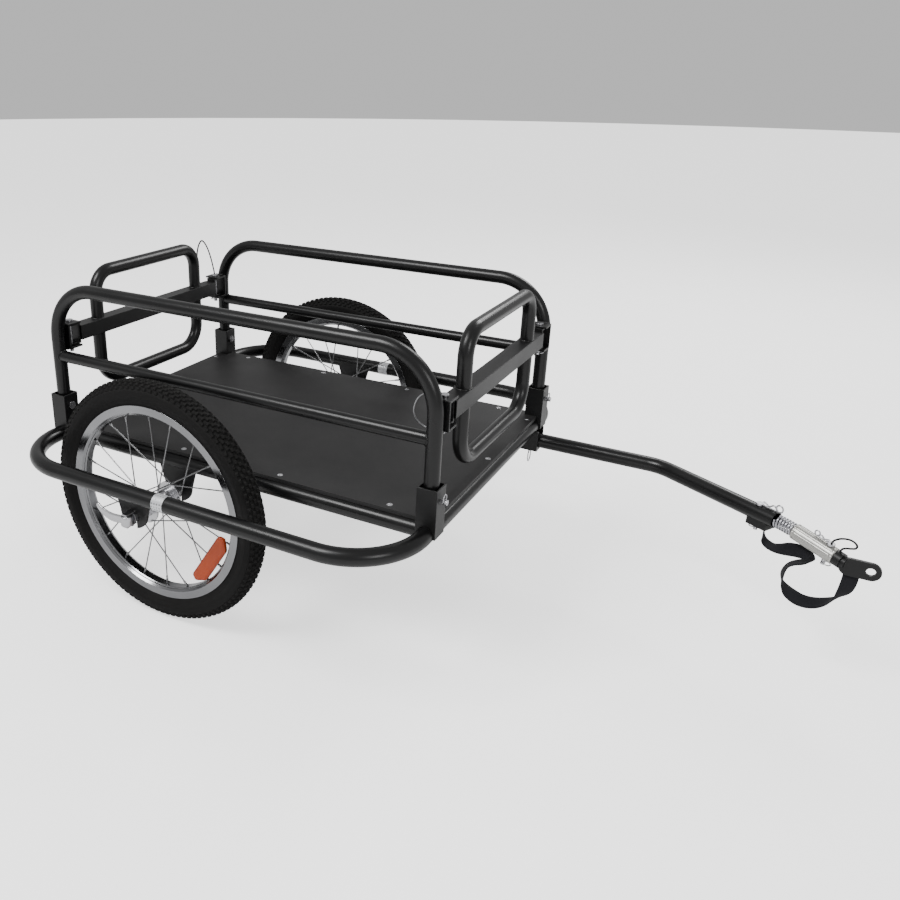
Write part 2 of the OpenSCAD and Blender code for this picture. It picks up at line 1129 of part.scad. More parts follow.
function unit(v) = v / norm(v);
function ring_points(p, t, normal, half_w, half_h, sides) =
    let (up = unit(cross(t, normal)), side = cross(up, t))
    [for (k = [0 : sides - 1]) p + side * half_w * cos(360 * k / sides + 180 / sides)
        + up * half_h * sin(360 * k / sides + 180 / sides)];
function run_dir(path, i) = unit(path[min(i + 1, len(path) - 1)] - path[max(i - 1, 0)]);

// A closed solid swept along a path, half_w wide along the normals, with flat ends.
module swept(path, normals, half_w, half_h, sides) {
    count = len(path);
    points = [for (i = [0 : count - 1])
        each ring_points(path[i], run_dir(path, i), normals[i], half_w, half_h, sides)];
    walls = [for (i = [0 : count - 2], k = [0 : sides - 1])
        let (n = (k + 1) % sides)
        [i * sides + k, i * sides + n, (i + 1) * sides + n, (i + 1) * sides + k]];
    caps = [[for (k = [sides - 1 : -1 : 0]) k],
        [for (k = [0 : sides - 1]) (count - 1) * sides + k]];
    polyhedron(points = points, faces = concat(walls, caps), convexity = 6);
}

module coupler_spring() {
    margin = (spring_wire / 2 + near_gap) / spring_len;
    steps = coil_turns * coil_steps;
    places = [for (i = [0 : steps]) margin + (1 - 2 * margin) * i / steps];
    path = [for (t = places) arc_point(t) + coil_r * coil_out(t)];
    color("silver")
    placed()
    translate(drawbar_end)
    rotate([0, 0, -drawbar_angle])
    swept(path, [for (t = places) coil_out(t)], spring_wire / 2, spring_wire / 2, coil_sides);
}

module coupler_sleeve() {
    bore = shank_d / 2 + near_gap;
    color("#c4c4bf")
    placed()
    at_coupler()
    translate([sleeve_start, 0, 0])
    difference() {
        rotate([0, 90, 0])
        cylinder(h = sleeve_len, d = sleeve_d);
        translate([8, 0, 0])
        rotate([0, 90, 0])
        cylinder(h = sleeve_len, r = bore);
        translate([sleeve_len - front_pin_back, 0, -sleeve_d])
        cylinder(h = 2 * sleeve_d, r = coupler_pin_d / 2 + pin_gap);
    }
}

module hitch_arm() {
    shank_in = 38;
    color("#161618")
    placed()
    union() {
        at_coupler()
        difference() {
            union() {
                translate([sleeve_start + sleeve_len - shank_in, 0, 0])
                rotate([0, 90, 0])
                cylinder(h = arm_reach - sleeve_start - sleeve_len + shank_in, d = shank_d);
                translate([sleeve_start + sleeve_len + near_gap, 0, 0])
                rotate([0, 90, 0])
                cylinder(h = 10, d = sleeve_d - 2);
            }
            translate([sleeve_start + sleeve_len - front_pin_back, 0, -sleeve_d])
            cylinder(h = 2 * sleeve_d, r = coupler_pin_d / 2 + pin_gap);
        }
        translate(arm_end + [0, hitch_plate_t / 2, -plate_drop])
        rotate([90, 0, 0])
        linear_extrude(hitch_plate_t)
        difference() {
            union() {
                for (x = [hole_reach - plate_span, hole_reach])
                    translate([x, 0])
                    circle(d = hitch_plate_w);
                translate([hole_reach - plate_span, -hitch_plate_w / 2])
                square([plate_span, hitch_plate_w]);
            }
            translate([hole_reach, 0])
            circle(d = hitch_hole_d);
        }
    }
}

module front_safety_pin() {
    color("silver")
    placed()
    at_coupler()
    translate([sleeve_start + sleeve_len - front_pin_back, 0, sleeve_d / 2 + near_gap])
    clipped_pin(coupler_pin_d, sleeve_d + 9, 10);
}

// Webbing strap from the anchor under the drawbar to the hitch plate's back, in the trailer's plan
strap_route = [[732, 113.5, 199.5], [732, 113.5, 191], [733, 113, 184], [737, 110.5, 179],
    [744, 106.5, 176.5], [753, 101.5, 178], [762, 96, 182], [771, 91, 186], [780, 86, 189],
    [788, 81.5, 190], [795, 78, 188], [798, 76, 184], [796, 77, 180], [790, 80, 176.5],
    [782, 85, 171], [774, 89, 163], [769, 92, 152], [767, 93, 140], [769, 92, 131],
    [775, 89, 124], [783, 84, 119], [794, 78, 117], [806, 71, 120], [818, 64, 127],
    [829, 58, 137], [838, 53, 149], [844, 51.5, 162], [847, 53, 174], [848, 55.5, 186],
    [848, 55.5, 195]];
// The way that the strap's width points at each of those places
strap_turn = [[0, 1, 0], [0, 1, 0], [0.1, 1, 0], [0.3, 0.9, 0], [0.5, 0.9, 0.1],
    [0.4, 0.8, 0.4], [0.3, 0.6, 0.7], [0.2, 0.4, 0.9], [0.3, 0.5, 0.8], [0.3, 0.7, 0.6],
    [0.4, 0.9, 0.2], [0.5, 0.9, 0], [0.5, 0.9, 0], [0.4, 0.9, 0.1], [0.3, 0.9, 0.1],
    [0.1, 1, 0], [-0.1, 1, 0], [-0.2, 1, 0], [-0.1, 1, 0.1], [0, 0.9, 0.3], [0.2, 0.8, 0.5],
    [0.3, 0.7, 0.6], [0.3, 0.7, 0.6], [0.4, 0.7, 0.6], [0.5, 0.6, 0.5], [0.6, 0.6, 0.3],
    [0.8, 0.4, 0.1], [0.95, 0.2, 0], [1, 0, 0], [1, 0, 0]];
strap_half_w = 10;
strap_half_t = 1.2;

module safety_strap() {
    color("#101012")
    placed()
    swept(strap_route, strap_turn, strap_half_w, strap_half_t, 8);
}

// Thin lanyards: from the left rear panel pin to the rear hoop, from the right front panel
// pin's head to its clip, and from the coupler's front pin to the hitch arm
cord_r = 1.4;
wire_r = 1;
panel_route = [[-340, 199, 434], [-340, 198, 441], [-340.5, 196, 450], [-341, 193, 462],
    [-342, 189, 476], [-343, 183, 491], [-344, 175, 503], [-344, 166, 508],
    [-343, 156, 501], [-342, 149, 488], [-341, 147, 475], [-340, 146.8, 462]];
gate_route = [[337, -200, 434], [331, -201, 437], [322, -203, 436], [312, -205, 431],
    [304, -205, 423], [300, -205, 413], [299, -205, 403], [303, -204, 393],
    [311, -203, 386], [321, -202, 382], [330, -201, 380.5], [338, -200, 380.5]];
bow_route = [[817, 64, 223], [819, 63, 228.5], [823.5, 60.5, 233.5], [829, 58, 237],
    [836, 54, 239.5], [842, 50.5, 239], [846, 48.5, 235.5], [845, 49, 231], [840, 51.5, 228],
    [835, 54.5, 225.5], [831, 56.5, 222.5], [829.5, 57.3, 219], [829.5, 57.3, 215.6]];

module lanyard(route, normal, r) {
    color("#101012")
    placed()
    swept(route, [for (p = route) normal], r, r, 8);
}

module panel_lanyard() {
    lanyard(panel_route, [1, 0, 0], cord_r);
}

module gate_lanyard() {
    lanyard(gate_route, [0, 1, 0], wire_r);
}

module coupler_lanyard() {
    lanyard(bow_route, [0.5, 0.87, 0], cord_r);
}

front_cross_tube();
rear_cross_tube();
left_bumper();
right_bumper();
left_side_rail();
right_side_rail();
mid_cross_tube();
corner_sockets();
deck_board();
deck_screws();
lock_pins();
left_side_hoop();
right_side_hoop();
left_mid_rail();
right_mid_rail();
left_post_brackets();
right_post_brackets();
panel_pins();
front_end_bar();
front_upper_hoop();
front_lower_hoop();
front_bar_lugs();
rear_end_bar();
rear_upper_hoop();
rear_lower_hoop();
rear_bar_lugs();
inner_axle_plates();
outer_axle_plates();
reflective_bands();
left_tyre();
left_inner_tube();
left_rim();
left_spokes();
left_hub();
left_reflector();
left_axle();
left_lever();
right_tyre();
right_inner_tube();
right_rim();
right_spokes();
right_hub();
right_reflector();
right_axle();
right_lever();
drawbar_tube();
drawbar_bracket();
drawbar_pin();
drawbar_rear_clamp();
strap_anchor();
coupler_spring();
coupler_sleeve();
hitch_arm();
rear_safety_pin();
front_safety_pin();
safety_strap();
panel_lanyard();
gate_lanyard();
coupler_lanyard();
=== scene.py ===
"""Looks of the bicycle cargo trailer.

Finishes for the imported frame's nodes, and detailed pieces that stand for some of them.
"""

import json
import logging
import math
import random
from dataclasses import dataclass, field
from enum import Enum
from functools import cache
from typing import Callable, Sequence, Union

import bpy
from mathutils import Matrix, Vector

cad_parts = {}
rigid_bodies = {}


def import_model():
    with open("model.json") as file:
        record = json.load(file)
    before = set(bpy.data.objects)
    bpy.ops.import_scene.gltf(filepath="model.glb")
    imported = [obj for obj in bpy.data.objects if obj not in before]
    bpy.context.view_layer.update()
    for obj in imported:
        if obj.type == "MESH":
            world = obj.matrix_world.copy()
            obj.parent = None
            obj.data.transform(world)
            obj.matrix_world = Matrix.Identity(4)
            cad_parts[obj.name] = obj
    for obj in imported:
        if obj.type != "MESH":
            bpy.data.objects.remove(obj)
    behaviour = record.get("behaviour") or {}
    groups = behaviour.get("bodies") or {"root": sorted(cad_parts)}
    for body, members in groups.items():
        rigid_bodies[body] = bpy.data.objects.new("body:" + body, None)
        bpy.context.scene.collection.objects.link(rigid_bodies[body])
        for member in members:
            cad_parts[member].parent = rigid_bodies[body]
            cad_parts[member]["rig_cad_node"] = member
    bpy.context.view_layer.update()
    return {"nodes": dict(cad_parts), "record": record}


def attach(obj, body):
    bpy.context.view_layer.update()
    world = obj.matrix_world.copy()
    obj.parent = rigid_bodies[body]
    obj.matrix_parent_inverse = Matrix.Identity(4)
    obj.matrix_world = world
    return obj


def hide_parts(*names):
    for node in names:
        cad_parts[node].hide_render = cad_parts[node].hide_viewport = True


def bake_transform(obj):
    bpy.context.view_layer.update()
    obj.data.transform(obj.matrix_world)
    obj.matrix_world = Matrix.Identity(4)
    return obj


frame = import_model()

LOG = logging.getLogger("trailer")
X_MID = 0.258924
TAU = 2 * math.pi
COAT_ROUGHNESS = 0.25
BUMP_STRENGTH = 0.6
DUST_COLOR = (0.30, 0.29, 0.27, 1.0)

Point = tuple[float, float, float]
Pair = tuple[float, float]
Section = Callable[[int, float], Pair]
Value = Union[bpy.types.NodeSocket, float, Sequence[float]]


class Side(Enum):
    """The trailer's left, towards +Y, and its right."""

    LEFT = 1
    RIGHT = -1

    @property
    def word(self) -> str:
        """The side's name in node names."""
        return self.name.lower()


class End(Enum):
    """The trailer's front, towards +X, and its rear."""

    FRONT = 1
    REAR = -1

    @property
    def word(self) -> str:
        """The end's name in node names."""
        return self.name.lower()


def plan(x: float, y: float, z: float) -> Vector:
    """A place given in millimetres from the trailer's middle, in metres in the shared frame."""
    return Vector((x / 1000 - X_MID, y / 1000, z / 1000))


# Shader helpers


@dataclass
class Nodes:
    """Adds nodes to one tree and links them."""

    tree: bpy.types.NodeTree

    def add(self, kind: str, values: dict[str | int, Value] | None = None, **settings: object) -> bpy.types.Node:
        """Adds a node.

        Args:
            kind: the node's type name.
            values: input socket name or number to a constant or to a socket to link from.
            settings: attributes of the node.

        Returns:
            The new node.
        """
        node = self.tree.nodes.new(kind)
        for name, value in settings.items():
            setattr(node, name, value)
        for key, value in (values or {}).items():
            if isinstance(value, bpy.types.NodeSocket):
                self.tree.links.new(value, node.inputs[key])
            else:
                node.inputs[key].default_value = value
        return node

    def math(self, operation: str, a: Value, b: Value = 0.0, clamp: bool = False) -> bpy.types.NodeSocket:
        """Joins two values with a Math node.

        Args:
            operation: the node's operation.
            a: first socket or number.
            b: second socket or number.
            clamp: True to keep the result from 0 to 1.

        Returns:
            The result's socket.
        """
        node = self.add("ShaderNodeMath", {0: a, 1: b}, operation=operation, use_clamp=clamp)
        return node.outputs[0]

    def mix(self, factor: Value, a: Value, b: Value) -> bpy.types.NodeSocket:
        """Mixes two colours.

        Args:
            factor: socket or number from 0 to 1.
            a: colour or socket at 0.
            b: colour or socket at 1.

        Returns:
            The mixed colour's socket.
        """
        node = self.add("ShaderNodeMix", {0: factor, 6: a, 7: b}, data_type="RGBA")
        return node.outputs[2]

    def remap(self, value: Value, low: float, high: float, to_low: float, to_high: float) -> bpy.types.NodeSocket:
        """Maps a range of values onto another, clamped.

        Args:
            value: the socket to map.
            low: value that becomes to_low.
            high: value that becomes to_high.
            to_low: result at low.
            to_high: result at high.

        Returns:
            The mapped value's socket.
        """
        node = self.add("ShaderNodeMapRange", {0: value, 1: low, 2: high, 3: to_low, 4: to_high})
        return node.outputs[0]


class Effects:
    """Shader node groups that several finishes share, each made once."""

    @staticmethod
    def group(
        name: str, inputs: Sequence[tuple[str, float]], outputs: Sequence[str]
    ) -> tuple[bpy.types.NodeTree, Nodes, bpy.types.Node, bpy.types.Node]:
        """Starts a new group.

        Args:
            name: the group's name.
            inputs: name and default value of each number that goes in.
            outputs: name of each number that comes out.

        Returns:
            The tree, its node helper, its input node and its output node.
        """
        tree = bpy.data.node_groups.new(name, "ShaderNodeTree")
        for label, value in inputs:
            socket = tree.interface.new_socket(label, in_out="INPUT", socket_type="NodeSocketFloat")
            socket.default_value = value
        for label in outputs:
            tree.interface.new_socket(label, in_out="OUTPUT", socket_type="NodeSocketFloat")
        nodes = Nodes(tree)
        return tree, nodes, nodes.add("NodeGroupInput"), nodes.add("NodeGroupOutput")

    @staticmethod
    @cache
    def edge_wear() -> bpy.types.NodeTree:
        """Masks the rubbed edges, broken up by noise.

        Returns:
            The group's tree.
        """
        tree, n, inp, out = Effects.group("edge_wear", [("Radius", 0.0012), ("Amount", 0.5)], ["Mask"])
        bevel = n.add("ShaderNodeBevel", {"Radius": inp.outputs["Radius"]}, samples=4)
        true = n.add("ShaderNodeNewGeometry")
        dot = n.add(
            "ShaderNodeVectorMath", {0: bevel.outputs[0], 1: true.outputs["Normal"]}, operation="DOT_PRODUCT"
        )
        place = n.add("ShaderNodeTexCoord").outputs["Object"]
        noise = n.add("ShaderNodeTexNoise", {"Vector": place, "Scale": 140.0, "Detail": 5.0, "Roughness": 0.65})
        edge = n.remap(dot.outputs["Value"], 0.985, 0.86, 0.0, 1.0)
        broken = n.remap(noise.outputs[0], 0.42, 0.68, 0.0, 1.0)
        mask = n.math("MULTIPLY", n.math("MULTIPLY", edge, broken), inp.outputs["Amount"], True)
        tree.links.new(mask, out.inputs["Mask"])
        return tree

    @staticmethod
    @cache
    def mottle() -> bpy.types.NodeTree:
        """Varies broadly and finely from 0 to 1, for colour and roughness.

        Returns:
            The group's tree.
        """
        tree, n, inp, out = Effects.group("mottle", [("Broad", 9.0), ("Fine", 260.0)], ["Broad", "Fine"])
        place = n.add("ShaderNodeTexCoord").outputs["Object"]
        for label, detail in (("Broad", 3.0), ("Fine", 4.0)):
            noise = n.add("ShaderNodeTexNoise", {"Vector": place, "Scale": inp.outputs[label], "Detail": detail})
            tree.links.new(n.remap(noise.outputs[0], 0.3, 0.7, 0.0, 1.0), out.inputs[label])
        return tree

    @staticmethod
    @cache
    def dust() -> bpy.types.NodeTree:
        """Masks thin dust on faces that look up.

        Returns:
            The group's tree.
        """
        tree, n, inp, out = Effects.group("dust", [("Amount", 0.3)], ["Mask"])
        up = n.add("ShaderNodeSeparateXYZ", {0: n.add("ShaderNodeNewGeometry").outputs["Normal"]}).outputs[2]
        place = n.add("ShaderNodeTexCoord").outputs["Object"]
        noise = n.add("ShaderNodeTexNoise", {"Vector": place, "Scale": 24.0, "Detail": 6.0, "Roughness": 0.7})
        patches = n.remap(noise.outputs[0], 0.4, 0.75, 0.15, 1.0)
        mask = n.math("MULTIPLY", n.remap(up, 0.2, 1.0, 0.0, 1.0), patches)
        tree.links.new(n.math("MULTIPLY", mask, inp.outputs["Amount"], True), out.inputs["Mask"])
        return tree

    @staticmethod
    @cache
    def weave() -> bpy.types.NodeTree:
        """Crosses threads from the piece's own U and V, as height and as a mask of the warp.

        Returns:
            The group's tree.
        """
        tree, n, inp, out = Effects.group("weave", [("Along", 400.0), ("Across", 18.0)], ["Height", "Warp"])
        uv = n.add("ShaderNodeSeparateXYZ", {0: n.add("ShaderNodeUVMap").outputs[0]})
        a = n.math("SINE", n.math("MULTIPLY", uv.outputs[0], inp.outputs["Along"]))
        b = n.math("SINE", n.math("MULTIPLY", uv.outputs[1], inp.outputs["Across"]))
        both = n.math("MULTIPLY", a, b)
        ridge = n.math("MULTIPLY", n.math("ABSOLUTE", b), 0.5)
        tree.links.new(n.remap(both, -1.0, 1.0, 0.0, 1.0), out.inputs["Warp"])
        tree.links.new(n.math("ADD", n.math("ABSOLUTE", both), ridge), out.inputs["Height"])
        return tree


@dataclass(frozen=True)
class Finish:
    """A surface: its colours, gloss, and how much the shared effects show on it."""

    name: str
    base: Point
    other: Point
    roughness: float
    metallic: float = 0.0
    coat: float = 0.0
    specular: float = 0.5
    rough_spread: float = 0.08
    worn: Point = (0.28, 0.28, 0.29)
    wear: float = 0.0
    dust: float = 0.0
    grain: float = 0.05
    grain_depth: float = 0.0001
    broad_scale: float = 9.0
    fine_scale: float = 260.0
    soft_edge: float = 0.0

    def pattern(self, n: Nodes, color: Value, height: Value) -> tuple[Value, Value]:
        """Adds what only this kind of surface has; the plain one adds nothing.

        Args:
            n: the material's node helper.
            color: colour socket so far.
            height: height socket so far.

        Returns:
            The colour and height sockets to go on with.
        """
        return color, height

    def build(self) -> bpy.types.Material:
        """Makes the material.

        Returns:
            The node material of this finish.
        """
        material = bpy.data.materials.new(self.name)
        material.use_nodes = True
        tree = material.node_tree
        tree.nodes.clear()
        n = Nodes(tree)
        output = n.add("ShaderNodeOutputMaterial")
        shader = n.add(
            "ShaderNodeBsdfPrincipled",
            {
                "Metallic": self.metallic,
                "Coat Weight": self.coat,
                "Coat Roughness": COAT_ROUGHNESS,
                "Specular IOR Level": self.specular,
            },
        )
        tree.links.new(shader.outputs[0], output.inputs[0])
        scales = {"Broad": self.broad_scale, "Fine": self.fine_scale}
        spots = n.add("ShaderNodeGroup", scales, node_tree=Effects.mottle())
        color = n.mix(spots.outputs["Broad"], (*self.base, 1.0), (*self.other, 1.0))
        height = n.math("MULTIPLY", spots.outputs["Fine"], self.grain)
        color, height = self.pattern(n, color, height)
        smoothest, roughest = self.roughness - self.rough_spread, self.roughness + self.rough_spread
        rough = n.remap(spots.outputs["Broad"], 0.0, 1.0, smoothest, roughest)
        if self.dust:
            dust = n.add("ShaderNodeGroup", {"Amount": self.dust}, node_tree=Effects.dust())
            color = n.mix(dust.outputs[0], color, DUST_COLOR)
            rough = n.math("ADD", rough, n.math("MULTIPLY", dust.outputs[0], 0.3), True)
        if self.wear:
            wear = n.add("ShaderNodeGroup", {"Amount": self.wear}, node_tree=Effects.edge_wear())
            color = n.mix(wear.outputs[0], color, (*self.worn, 1.0))
            rough = n.math("SUBTRACT", rough, n.math("MULTIPLY", wear.outputs[0], 0.1), True)
        relief = {"Strength": BUMP_STRENGTH, "Distance": self.grain_depth, "Height": height}
        bump = n.add("ShaderNodeBump", relief)
        if self.soft_edge:
            bevel = n.add("ShaderNodeBevel", {"Radius": self.soft_edge}, samples=4)
            tree.links.new(bevel.outputs[0], bump.inputs["Normal"])
        tree.links.new(color, shader.inputs["Base Color"])
        tree.links.new(rough, shader.inputs["Roughness"])
        tree.links.new(bump.outputs[0], shader.inputs["Normal"])
        return material


@dataclass(frozen=True)
class Woven(Finish):
    """Webbing or braided cord, with threads along the piece's U and V."""

    along: float = 400.0
    across: float = 18.0

    def pattern(self, n: Nodes, color: Value, height: Value) -> tuple[Value, Value]:
        """Adds crossing threads, with a painted sheen on the raised warp threads.

        Args:
            n: the material's node helper.
            color: colour socket so far.
            height: height socket so far.

        Returns:
            The colour and height sockets to go on with.
        """
        threads = {"Along": self.along, "Across": self.across}
        weave = n.add("ShaderNodeGroup", threads, node_tree=Effects.weave())
        # painted highlight: a lighter copy of the cord's own colour, laid over the raised warp threads
        painted_thread_sheen = tuple(min(1.0, 1.9 * c) for c in self.other)
        color = n.mix(n.math("MULTIPLY", weave.outputs["Warp"], 0.5), color, (*painted_thread_sheen, 1.0))
        return color, n.math("ADD", height, weave.outputs["Height"])


@dataclass(frozen=True)
class Brushed(Finish):
    """Metal with fine lines drawn along one axis."""

    stretch: Point = (8.0, 900.0, 900.0)

    def pattern(self, n: Nodes, color: Value, height: Value) -> tuple[Value, Value]:
        """Adds stretched scratches.

        Args:
            n: the material's node helper.
            color: colour socket so far.
            height: height socket so far.

        Returns:
            The colour and height sockets to go on with.
        """
        place = n.add("ShaderNodeTexCoord").outputs["Object"]
        lines = n.add("ShaderNodeMapping", {"Vector": place, "Scale": self.stretch})
        noise = n.add("ShaderNodeTexNoise", {"Vector": lines.outputs[0], "Scale": 1.0, "Detail": 3.0})
        shade = tuple(0.82 * c for c in self.base)
        color = n.mix(n.remap(noise.outputs[0], 0.4, 0.7, 0.0, 0.6), color, (*shade, 1.0))
        return color, n.math("ADD", height, n.math("MULTIPLY", noise.outputs[0], 0.5))


@dataclass(frozen=True)
class Prismatic(Finish):
    """Reflective lens or film with a close grid of small prisms."""

    pitch: float = 420.0
    line: Point = (1.0, 1.0, 1.0)

    def pattern(self, n: Nodes, color: Value, height: Value) -> tuple[Value, Value]:
        """Adds the prisms' cells.

        Args:
            n: the material's node helper.
            color: colour socket so far.
            height: height socket so far.

        Returns:
            The colour and height sockets to go on with.
        """
        place = n.add("ShaderNodeTexCoord").outputs["Object"]
        cells = n.add("ShaderNodeTexVoronoi", {"Vector": place, "Scale": self.pitch, "Randomness": 0.15})
        color = n.mix(n.remap(cells.outputs["Distance"], 0.12, 0.42, 0.85, 0.0), color, (*self.line, 1.0))
        return color, n.math("ADD", height, cells.outputs["Distance"])


FINISHES: dict[str, Finish] = {
    finish.name: finish
    for finish in (
        Finish(
            "frame_paint", (0.0030, 0.0030, 0.0032), (0.0050, 0.0050, 0.0052), 0.30, specular=0.34,
            rough_spread=0.04, grain=0.35, grain_depth=0.00010, fine_scale=900.0,
        ),
        Finish(
            "bar_paint", (0.0055, 0.0055, 0.0057), (0.0085, 0.0085, 0.0088), 0.42, specular=0.32,
            rough_spread=0.05, wear=0.10, grain=0.35, grain_depth=0.00010, fine_scale=900.0,
            soft_edge=0.0016,
        ),
        Finish(
            "plate_paint", (0.0032, 0.0032, 0.0034), (0.0052, 0.0052, 0.0054), 0.38, specular=0.30,
            rough_spread=0.05, wear=0.14, grain=0.35, grain_depth=0.00010, fine_scale=900.0,
            soft_edge=0.0010,
        ),
        Finish(
            "deck", (0.0100, 0.0098, 0.0102), (0.0145, 0.0143, 0.0147), 0.50, specular=0.28,
            rough_spread=0.07, worn=(0.10, 0.075, 0.05), wear=0.2, dust=0.02, grain=0.5,
            grain_depth=0.00018, broad_scale=5.0, fine_scale=520.0,
        ),
        Brushed(
            "zinc", (0.60, 0.60, 0.62), (0.48, 0.48, 0.50), 0.27, metallic=1.0, wear=0.2,
            worn=(0.85, 0.85, 0.86), grain_depth=0.00005, soft_edge=0.0005,
        ),
        Finish(
            "tyre", (0.0028, 0.0026, 0.0026), (0.0055, 0.0052, 0.0050), 0.74, specular=0.18,
            rough_spread=0.08, dust=0.03, grain=0.8, grain_depth=0.0003, fine_scale=700.0,
        ),
        Finish("inner_tube", (0.010, 0.010, 0.010), (0.016, 0.016, 0.016), 0.6, grain=0.4),
        Brushed(
            "rim", (0.27, 0.272, 0.28), (0.19, 0.192, 0.20), 0.22, metallic=1.0, wear=0.3,
            worn=(0.85, 0.85, 0.86), grain_depth=0.00004, soft_edge=0.0006, stretch=(500.0, 60.0, 500.0),
        ),
        Brushed("spoke", (0.26, 0.26, 0.265), (0.19, 0.19, 0.195), 0.26, metallic=1.0, grain_depth=0.00003),
        Brushed(
            "hub", (0.60, 0.60, 0.61), (0.46, 0.46, 0.48), 0.24, metallic=1.0, wear=0.2,
            worn=(0.9, 0.9, 0.9), grain_depth=0.00004, soft_edge=0.0006, stretch=(700.0, 20.0, 700.0),
        ),
        Prismatic(
            "reflector", (0.36, 0.040, 0.003), (0.25, 0.024, 0.002), 0.34, coat=0.1, specular=0.28,
            line=(0.52, 0.085, 0.010), grain_depth=0.0004, soft_edge=0.0008,
        ),
        Brushed(
            "axle", (0.60, 0.60, 0.61), (0.46, 0.46, 0.48), 0.26, metallic=1.0, wear=0.2,
            worn=(0.9, 0.9, 0.9), grain_depth=0.00005, soft_edge=0.0006,
        ),
        Prismatic(
            "band", (0.74, 0.75, 0.77), (0.60, 0.61, 0.63), 0.28, metallic=0.4, coat=0.5, pitch=210.0,
            line=(0.05, 0.05, 0.055), grain_depth=0.0002,
        ),
        Brushed("spring", (0.60, 0.60, 0.63), (0.42, 0.42, 0.45), 0.22, metallic=1.0, grain_depth=0.00004),
        Brushed(
            "sleeve", (0.52, 0.515, 0.49), (0.42, 0.415, 0.39), 0.33, metallic=1.0, wear=0.3,
            worn=(0.82, 0.81, 0.79), grain_depth=0.00006, soft_edge=0.0003, stretch=(20.0, 700.0, 700.0),
        ),
        Finish(
            "anchor", (0.0045, 0.0045, 0.0048), (0.0075, 0.0075, 0.0078), 0.55, specular=0.3, grain=0.6,
            wear=0.1, soft_edge=0.001,
        ),
        Woven(
            "webbing", (0.0045, 0.0045, 0.0060), (0.0085, 0.0085, 0.0105), 0.78, specular=0.2,
            grain_depth=0.00035, along=3600.0, across=26.0,
        ),
        Woven(
            "cord", (0.0050, 0.0050, 0.0056), (0.010, 0.010, 0.011), 0.75, specular=0.25,
            grain_depth=0.0003, along=2600.0, across=12.566,
        ),
        Brushed("wire", (0.34, 0.34, 0.35), (0.24, 0.24, 0.25), 0.34, metallic=0.8, grain_depth=0.00003),
    )
}


@dataclass
class Palette:
    """The built materials, one for each slot."""

    built: dict[str, bpy.types.Material] = field(default_factory=dict)

    def material(self, slot: str) -> bpy.types.Material:
        """Finds the slot's material, made on first use.

        Args:
            slot: the record's material slot.

        Returns:
            The material.
        """
        if slot not in self.built:
            self.built[slot] = FINISHES[slot].build()
        return self.built[slot]

    def dress(self, piece: bpy.types.Object, slot: str) -> None:
        """Gives a piece the slot's material.

        Args:
            piece: the object to dress.
            slot: the record's material slot.
        """
        piece.data.materials.clear()
        piece.data.materials.append(self.material(slot))

    def mount(self, piece: bpy.types.Object, slot: str, body: str, *nodes: str) -> bpy.types.Object:
        """Puts a piece on a body, in its finish, in place of nodes.

        Args:
            piece: the new piece.
            slot: its material slot.
            body: the body it rides on.
            nodes: the nodes it stands for.

        Returns:
            The piece.
        """
        if nodes:
            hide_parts(*nodes)
        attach(piece, body)
        self.dress(piece, slot)
        return piece


# Mesh helpers


def mesh_piece(
    name: str,
    points: Sequence[Vector],
    faces: Sequence[Sequence[int]],
    uvs: Sequence[Pair] | None = None,
    flat: bool = False,
) -> bpy.types.Object:
    """Makes an object from points and faces.

    Args:
        name: the object's name.
        points: places in the shared frame.
        faces: point numbers of each face.
        uvs: one U and V for each point, if the finish needs them.
        flat: True for flat shading.

    Returns:
        The linked object.
    """
    mesh = bpy.data.meshes.new(name)
    mesh.from_pydata([tuple(p) for p in points], [], [tuple(f) for f in faces])
    mesh.validate()
    mesh.update()
    if uvs:
        layer = mesh.uv_layers.new(name="UVMap")
        for loop in mesh.loops:
            layer.data[loop.index].uv = uvs[loop.vertex_index]
    if not flat:
        mesh.polygons.foreach_set("use_smooth", [True] * len(mesh.polygons))
    piece = bpy.data.objects.new(name, mesh)
    bpy.context.scene.collection.objects.link(piece)
    return piece


